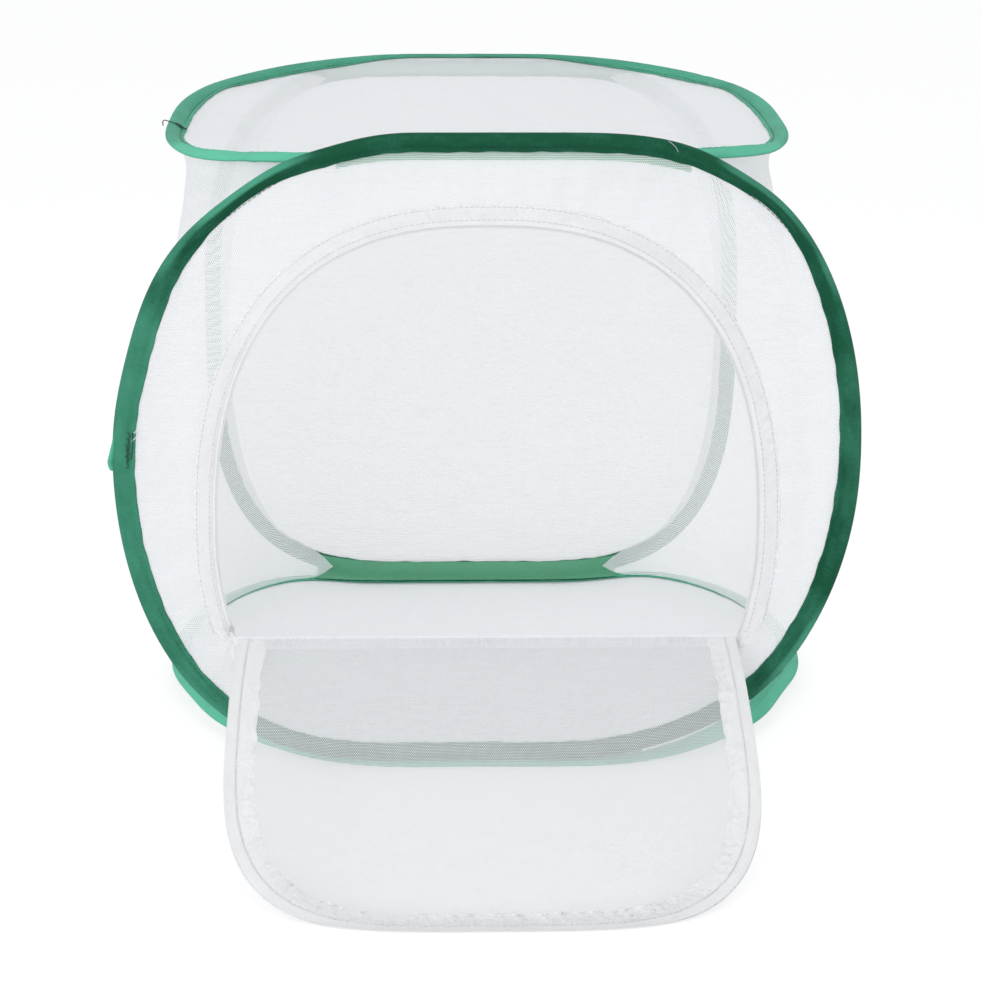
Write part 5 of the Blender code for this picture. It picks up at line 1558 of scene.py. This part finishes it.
class CAGE_OT_zip(bpy.types.Operator):
    """Wind the zip's coils and finish its slider, pull and stops"""

    bl_idname = "cage.zip"
    bl_label = "Zip"

    def execute(self, context):
        """Make the coils along both halves, and give the solids of the zip their finish."""
        tree = coil_tree()
        size = sizes()
        low = PARKED_ZIP[2] - size.height / 2 - 0.0055
        for name, (points, outward), side, place, body, node in (
            ("opening_zip_coil", opening_arch(), 1, front_place, "front", "frame_zip_coil"),
            ("door_zip_half_coil", flap_arch(), -1, door_place, "door", "door_zip_coil"),
        ):
            line = points + outward * side * (0.00015 + COIL_WIDTH / 2)
            if body == "front":
                stub = np.column_stack((np.full(12, line[0, 0]), np.linspace(low, line[0, 1], 12)[::-1]))[::-1]
                line = np.vstack((stub[:-1], line))
            else:
                line[:, 1] = np.maximum(line[:, 1], fold_level() + 0.002)
            line = np.column_stack((line, np.full(len(line), -0.00025 + COIL_HEIGHT / 2)))
            way = float(arch_length(line[:, :2])[-1])
            mesh = grown(name, [(line, False)], tree, {
                "Pitch": cloth().coil_pitch, "Width": COIL_WIDTH - 2 * cloth().coil_radius,
                "Height": COIL_HEIGHT - 2 * cloth().coil_radius, "Radius": cloth().coil_radius, "Length": way,
                "Finish": FINISHES["coil"]})
            corners = np.zeros(3 * len(mesh.vertices), np.float32)
            mesh.vertices.foreach_get("co", corners)
            moved = place(corners.reshape(-1, 3).astype(float))
            mesh.vertices.foreach_set("co", moved.ravel().astype(np.float32))
            mesh.update()
            piece(name, mesh, "coil", body, (node,))
        for name, finish in (("zip_slider", "slider"), ("zip_pull", "slider"), ("door_zip_stop", "coil"),
                             ("frame_zip_stop", "stop"), ("zip_tail_coil", "coil"), ("zip_tail_tape", "coil")):
            node = frame["nodes"][name]
            node.data.materials.clear()
            node.data.materials.append(FINISHES[finish])
        return {"FINISHED"}


# The binding's row of stitches: in from the rim, and out of the tape's middle
STITCH_DEPTH = 0.0086
STITCH_LIFT = 0.00066


class CAGE_OT_stitching(bpy.types.Operator):
    """Run the rows of stitches round the bindings and hems"""

    bl_idname = "cage.stitching"
    bl_label = "Stitching"

    def execute(self, context):
        """Make dark stitches on each binding, and on the hems stitches of white thread greyed as painted shade."""
        tree = stitch_tree()
        step = cloth().stitch_length + cloth().stitch_gap
        for seed, hoop in enumerate(HOOPS.values()):
            rim, inward, out = hoop.rim()
            lines = []
            for lift in (STITCH_LIFT, -STITCH_LIFT):
                line = rim + inward * STITCH_DEPTH + out * lift
                lines.append((placed(line[::3], hoop.frame), True))
            mesh = grown(hoop.name + "_stitches", lines, tree, {
                "Step": step, "Stitch": cloth().stitch_length, "Radius": cloth().thread_radius, "Seed": seed,
                "Finish": FINISHES["thread"]})
            piece(hoop.name + "_binding_stitches", mesh, "thread", hoop.name)
        fold = fold_level()
        for name, (points, outward), offsets, place, lift, body in (
            ("opening_stitches", opening_arch(), (0.0050, 0.0122), front_place, HEM_LIFT + 0.0004, "front"),
            ("door_stitches", flap_arch(), (-0.0068,), door_place, TAPE_LIFT - 0.0003, "door"),
        ):
            lines = []
            for offset in offsets:
                row = band(points, outward, offset, offset, 1, fold + 0.002)[0]
                row = np.column_stack((row, np.full(len(row), lift)))
                lines.append((place(row)[::2], False))
            mesh = grown(name, lines, tree, {
                "Step": step * 0.9, "Stitch": cloth().stitch_length * 0.9, "Radius": cloth().thread_radius,
                "Seed": 9, "Finish": FINISHES["white_thread"]})
            piece(name + "_row", mesh, "white_thread", body)
        return {"FINISHED"}


def tape_end_mesh():
    """The loose corner of the binding's tape, which stands out past the front hoop."""
    hoop = HOOPS["front"]
    low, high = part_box("binding_tape_end")
    rows, columns = 9, 13
    grid = np.zeros((rows, columns, 3))
    flat = np.zeros((rows, columns, 2))
    edge = -hoop.half_width
    foot = low.z - sizes().height / 2 + 0.0045
    top = high.z - sizes().height / 2 + 0.0045
    for i, up in enumerate(np.linspace(0.0, 1.0, rows)):
        v = foot + (top - foot) * up
        reach = low.x - edge
        tip = edge + 0.0014 + (reach - 0.0014) * (1.0 - up) ** 1.1 * (0.55 + 0.45 * min(up * 5, 1.0))
        for j, over in enumerate(np.linspace(0.0, 1.0, columns)):
            u = tip + (edge + 0.0030 - tip) * over
            bulge = 0.0009 * math.sin(math.pi * min(over * 1.6, 1.0)) * (1.0 - up)
            lift = 0.0019 + bulge - 0.0022 * max(0.0, 1.0 - over * 3.0) * (1.0 - up * 0.5)
            grid[i, j] = (u, v, lift)
            flat[i, j] = (u, v)
    # Painted light: the loose end is mixed toward the lit green most at its tip, less toward the binding.
    painted_light_and_tone = np.clip(0.9 - np.linspace(0, 1, columns) * 0.8, 0.2, 1.0)[None, :] + np.zeros((rows, 1))
    return sheet_mesh("tape_end", grid_at(front_place, grid), flat, painted_light_and_tone=painted_light_and_tone)


class CAGE_OT_loose_ends(bpy.types.Operator):
    """Add the binding's loose end, the threads at its overlaps and the stray threads"""

    bl_idname = "cage.loose_ends"
    bl_label = "Loose ends"

    def execute(self, context):
        """Make the small irregular pieces."""
        end = piece("tape_end_corner", tape_end_mesh(), "binding", "front", ("binding_tape_end",))
        front, top = HOOPS["front"], HOOPS["top"]
        dice = np.random.default_rng(5)
        start = front.nearest(*OVERLAPS["front"])
        threads = []
        for row in range(3):
            points = []
            for k in range(9):
                depth = 0.0078 + 0.0016 * (k % 2) + dice.uniform(-0.0005, 0.0005) + 0.0004 * row
                points.append(front.spot(start + row * 2 + k, depth, 0.0019 + 0.0003 * (k % 2)))
            threads.append(tube_mesh("zigzag", points, 0.00026))
        stray = [front.spot(start + 3, 0.0105, 0.0016), front.spot(start + 8, 0.0122, 0.0024),
                 front.spot(start + 12, 0.0110, 0.0016)]
        threads.append(tube_mesh("stray", stray, 0.0003))
        piece("front_end_threads", joined_mesh("front_end_threads", threads), "thread", "front")
        loop = [front.spot(start + 9, 0.0108, 0.0014), front.spot(start + 11, 0.0140, 0.0030),
                front.spot(start + 14, 0.0145, 0.0026), front.spot(start + 12, 0.0120, 0.0020)]
        piece("front_white_thread", tube_mesh("white_loop", loop, 0.0003), "white_thread", "front")
        joint = top.nearest(*OVERLAPS["top"])
        # Painted shade: three dark tubes, thickest over the middle of the tape, fill the gap at the top binding's
        # joint; a curl of dark thread follows them.
        gap = []
        for near, far, radius in ((0.0018, 0.0108, 0.00040), (0.0030, 0.0085, 0.00085), (0.0042, 0.0070, 0.00120)):
            line = [top.spot(joint - 1, near + (far - near) * k / 4, 0.0021) for k in range(5)]
            gap.append(tube_mesh("gap", line, radius))
        curl = [top.spot(joint - 1, 0.0015, 0.0022), top.spot(joint - 1, -0.0012, 0.0018),
                top.spot(joint + 1, -0.0030, 0.0004), top.spot(joint + 3, -0.0028, -0.0022),
                top.spot(joint + 5, -0.0018, -0.0040)]
        gap.append(tube_mesh("curl", curl, 0.00035))
        piece("top_joint_shade_and_thread", joined_mesh("top_joint_shade_and_thread", gap), "thread", "top")
        crease = front.nearest(0.105, 0.178)
        line = [front.spot(crease + k, depth, 0.0026) for k, depth in
                ((-4, 0.0002), (-1, 0.0018), (0, 0.0050))]
        piece("front_crease_thread", tube_mesh("crease", line, 0.00012), "white_thread", "front")
        return {"FINISHED"}


FLOOR_REACH = 40.0
FLOOR_CORNERS = ((-1, -1), (1, -1), (1, 1), (-1, 1))
FLOOR_GLOW = 0.62  # how much of the floor's own white the camera sees
PURE_WHITE = (1.0, 1.0, 1.0, 1.0)
# Area lamps: name, place, size and power; all of them look at the cage's middle
LAMPS = (("overhead", (0.25, -0.35, 1.90), 1.9, 7.0), ("front", (-0.9, -2.3, 0.75), 1.6, 26.0))
LAMP_TARGET = Vector((0.0, 0.0, 0.15))
# The photograph's camera, as solved: focal length and width in pixels, yaw, pitch and roll in degrees, and place
FOCAL_PIXELS = 2763.6
PHOTO_PIXELS = 981
SENSOR_WIDTH = 36.0
CAMERA_ANGLES = (1.50, 14.83, 0.20)
CAMERA_PLACE = (-0.0382, -1.7079, 0.5697)


class CAGE_OT_studio(bpy.types.Operator):
    """Set the floor, the backdrop, the lamps and the camera"""

    bl_idname = "cage.studio"
    bl_label = "Studio"

    def execute(self, context):
        """Make the stage; only camera rays see the white backdrop at full strength."""
        scene = context.scene
        scene.view_settings.view_transform = "Standard"
        self.floor()
        self.backdrop(scene)
        for name, place, size, power in LAMPS:
            light = bpy.data.lights.new(name, "AREA")
            light.size = size
            light.energy = power
            lamp = bpy.data.objects.new(name, light)
            lamp.location = place
            lamp.rotation_mode = "QUATERNION"
            lamp.rotation_quaternion = (LAMP_TARGET - Vector(place)).to_track_quat("-Z", "Y")
            scene.collection.objects.link(lamp)
        self.camera(scene)
        return {"FINISHED"}

    def floor(self):
        """A wide pale floor that keeps the cage's shadow."""
        mesh = bpy.data.meshes.new("floor")
        corners = [(FLOOR_REACH * across, FLOOR_REACH * back, 0) for across, back in FLOOR_CORNERS]
        mesh.from_pydata(corners, [], [(0, 1, 2, 3)])
        item = bpy.data.objects.new("floor", mesh)
        bpy.context.scene.collection.objects.link(item)
        made, wiring, shader = material("studio_floor", colours().floor, 0.9)
        wiring.bump(shader, wiring.noise(wiring.node("ShaderNodeTexCoord").outputs["Object"], 300.0), 0.0001)
        glow = wiring.node("ShaderNodeEmission", {"Color": PURE_WHITE, "Strength": 1.10})
        share = wiring.math("MULTIPLY", wiring.seen()["Is Camera Ray"], FLOOR_GLOW)
        wiring.surface(wiring.blended(share, shader, glow))
        mesh.materials.append(made)

    def backdrop(self, scene):
        """White for the camera, a plain level of light for everything else."""
        world = bpy.data.worlds.new("studio")
        scene.world = world
        world.use_nodes = True
        wiring = Wiring(world.node_tree)
        light = wiring.feed(world.node_tree.nodes["Background"], {"Color": (0.955, 0.970, 1.0, 1.0),
                                                                  "Strength": 0.88})
        white = wiring.node("ShaderNodeBackground", {"Color": PURE_WHITE, "Strength": 1.0})
        seen = wiring.seen()
        share = wiring.math("MAXIMUM", seen["Is Camera Ray"],
                            wiring.math("MAXIMUM", seen["Is Glossy Ray"], seen["Is Transmission Ray"]))
        wiring.surface(wiring.blended(share, light, white), "World Output")

    def camera(self, scene):
        """The camera, at the photograph's viewing angle."""
        data = bpy.data.cameras.new("camera")
        data.sensor_width = SENSOR_WIDTH
        data.lens = FOCAL_PIXELS / PHOTO_PIXELS * SENSOR_WIDTH
        item = bpy.data.objects.new("camera", data)
        yaw, pitch, roll = [math.radians(angle) for angle in CAMERA_ANGLES]
        ahead = Vector((math.sin(yaw) * math.cos(pitch), math.cos(yaw) * math.cos(pitch), -math.sin(pitch)))
        right = ahead.cross(Vector((0.0, 0.0, 1.0))).normalized()
        up = right.cross(ahead)
        leant = right * math.cos(roll) + up * math.sin(roll)
        above = up * math.cos(roll) - right * math.sin(roll)
        turn = Matrix((leant, above, -ahead)).transposed().to_4x4()
        item.matrix_world = Matrix.Translation(CAMERA_PLACE) @ turn
        scene.collection.objects.link(item)
        scene.camera = item


class CAGE_PT_panel(bpy.types.Panel):
    """The cage's operators and settings"""

    bl_idname = "CAGE_PT_panel"
    bl_label = "Insect cage"
    bl_space_type = "VIEW_3D"
    bl_region_type = "UI"
    bl_category = "Cage"

    def draw(self, context):
        """List the operators, then the sizes and colours."""
        for step in STEPS:
            self.layout.operator(step.bl_idname)
        for group in (context.scene.cage_sizes, context.scene.cage_cloth, context.scene.cage_colours):
            for key in group.__annotations__:
                self.layout.prop(group, key)


STEPS = (CAGE_OT_finishes, CAGE_OT_bindings, CAGE_OT_panels, CAGE_OT_walls, CAGE_OT_strips, CAGE_OT_opening,
         CAGE_OT_door, CAGE_OT_zip, CAGE_OT_stitching, CAGE_OT_loose_ends, CAGE_OT_studio)
CLASSES = (CageSizes, ClothSizes, CageColours, *STEPS, CAGE_PT_panel)


def register():
    """Register the classes and hang the settings on the scene."""
    for kind in CLASSES:
        bpy.utils.register_class(kind)
    bpy.types.Scene.cage_sizes = bpy.props.PointerProperty(type=CageSizes)
    bpy.types.Scene.cage_cloth = bpy.props.PointerProperty(type=ClothSizes)
    bpy.types.Scene.cage_colours = bpy.props.PointerProperty(type=CageColours)


def unregister():
    """Take the settings and classes away again."""
    del bpy.types.Scene.cage_sizes
    del bpy.types.Scene.cage_cloth
    del bpy.types.Scene.cage_colours
    for kind in reversed(CLASSES):
        bpy.utils.unregister_class(kind)


def main():
    """Dress the cage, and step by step."""
    register()
    lay_out_hoops()
    bpy.ops.cage.finishes()
    bpy.ops.cage.bindings()
    bpy.ops.cage.panels()
    bpy.ops.cage.walls()
    bpy.ops.cage.strips()
    bpy.ops.cage.opening()
    bpy.ops.cage.door()
    bpy.ops.cage.zip()
    bpy.ops.cage.stitching()
    bpy.ops.cage.loose_ends()
    bpy.ops.cage.studio()


if __name__ == "__main__":
    main()
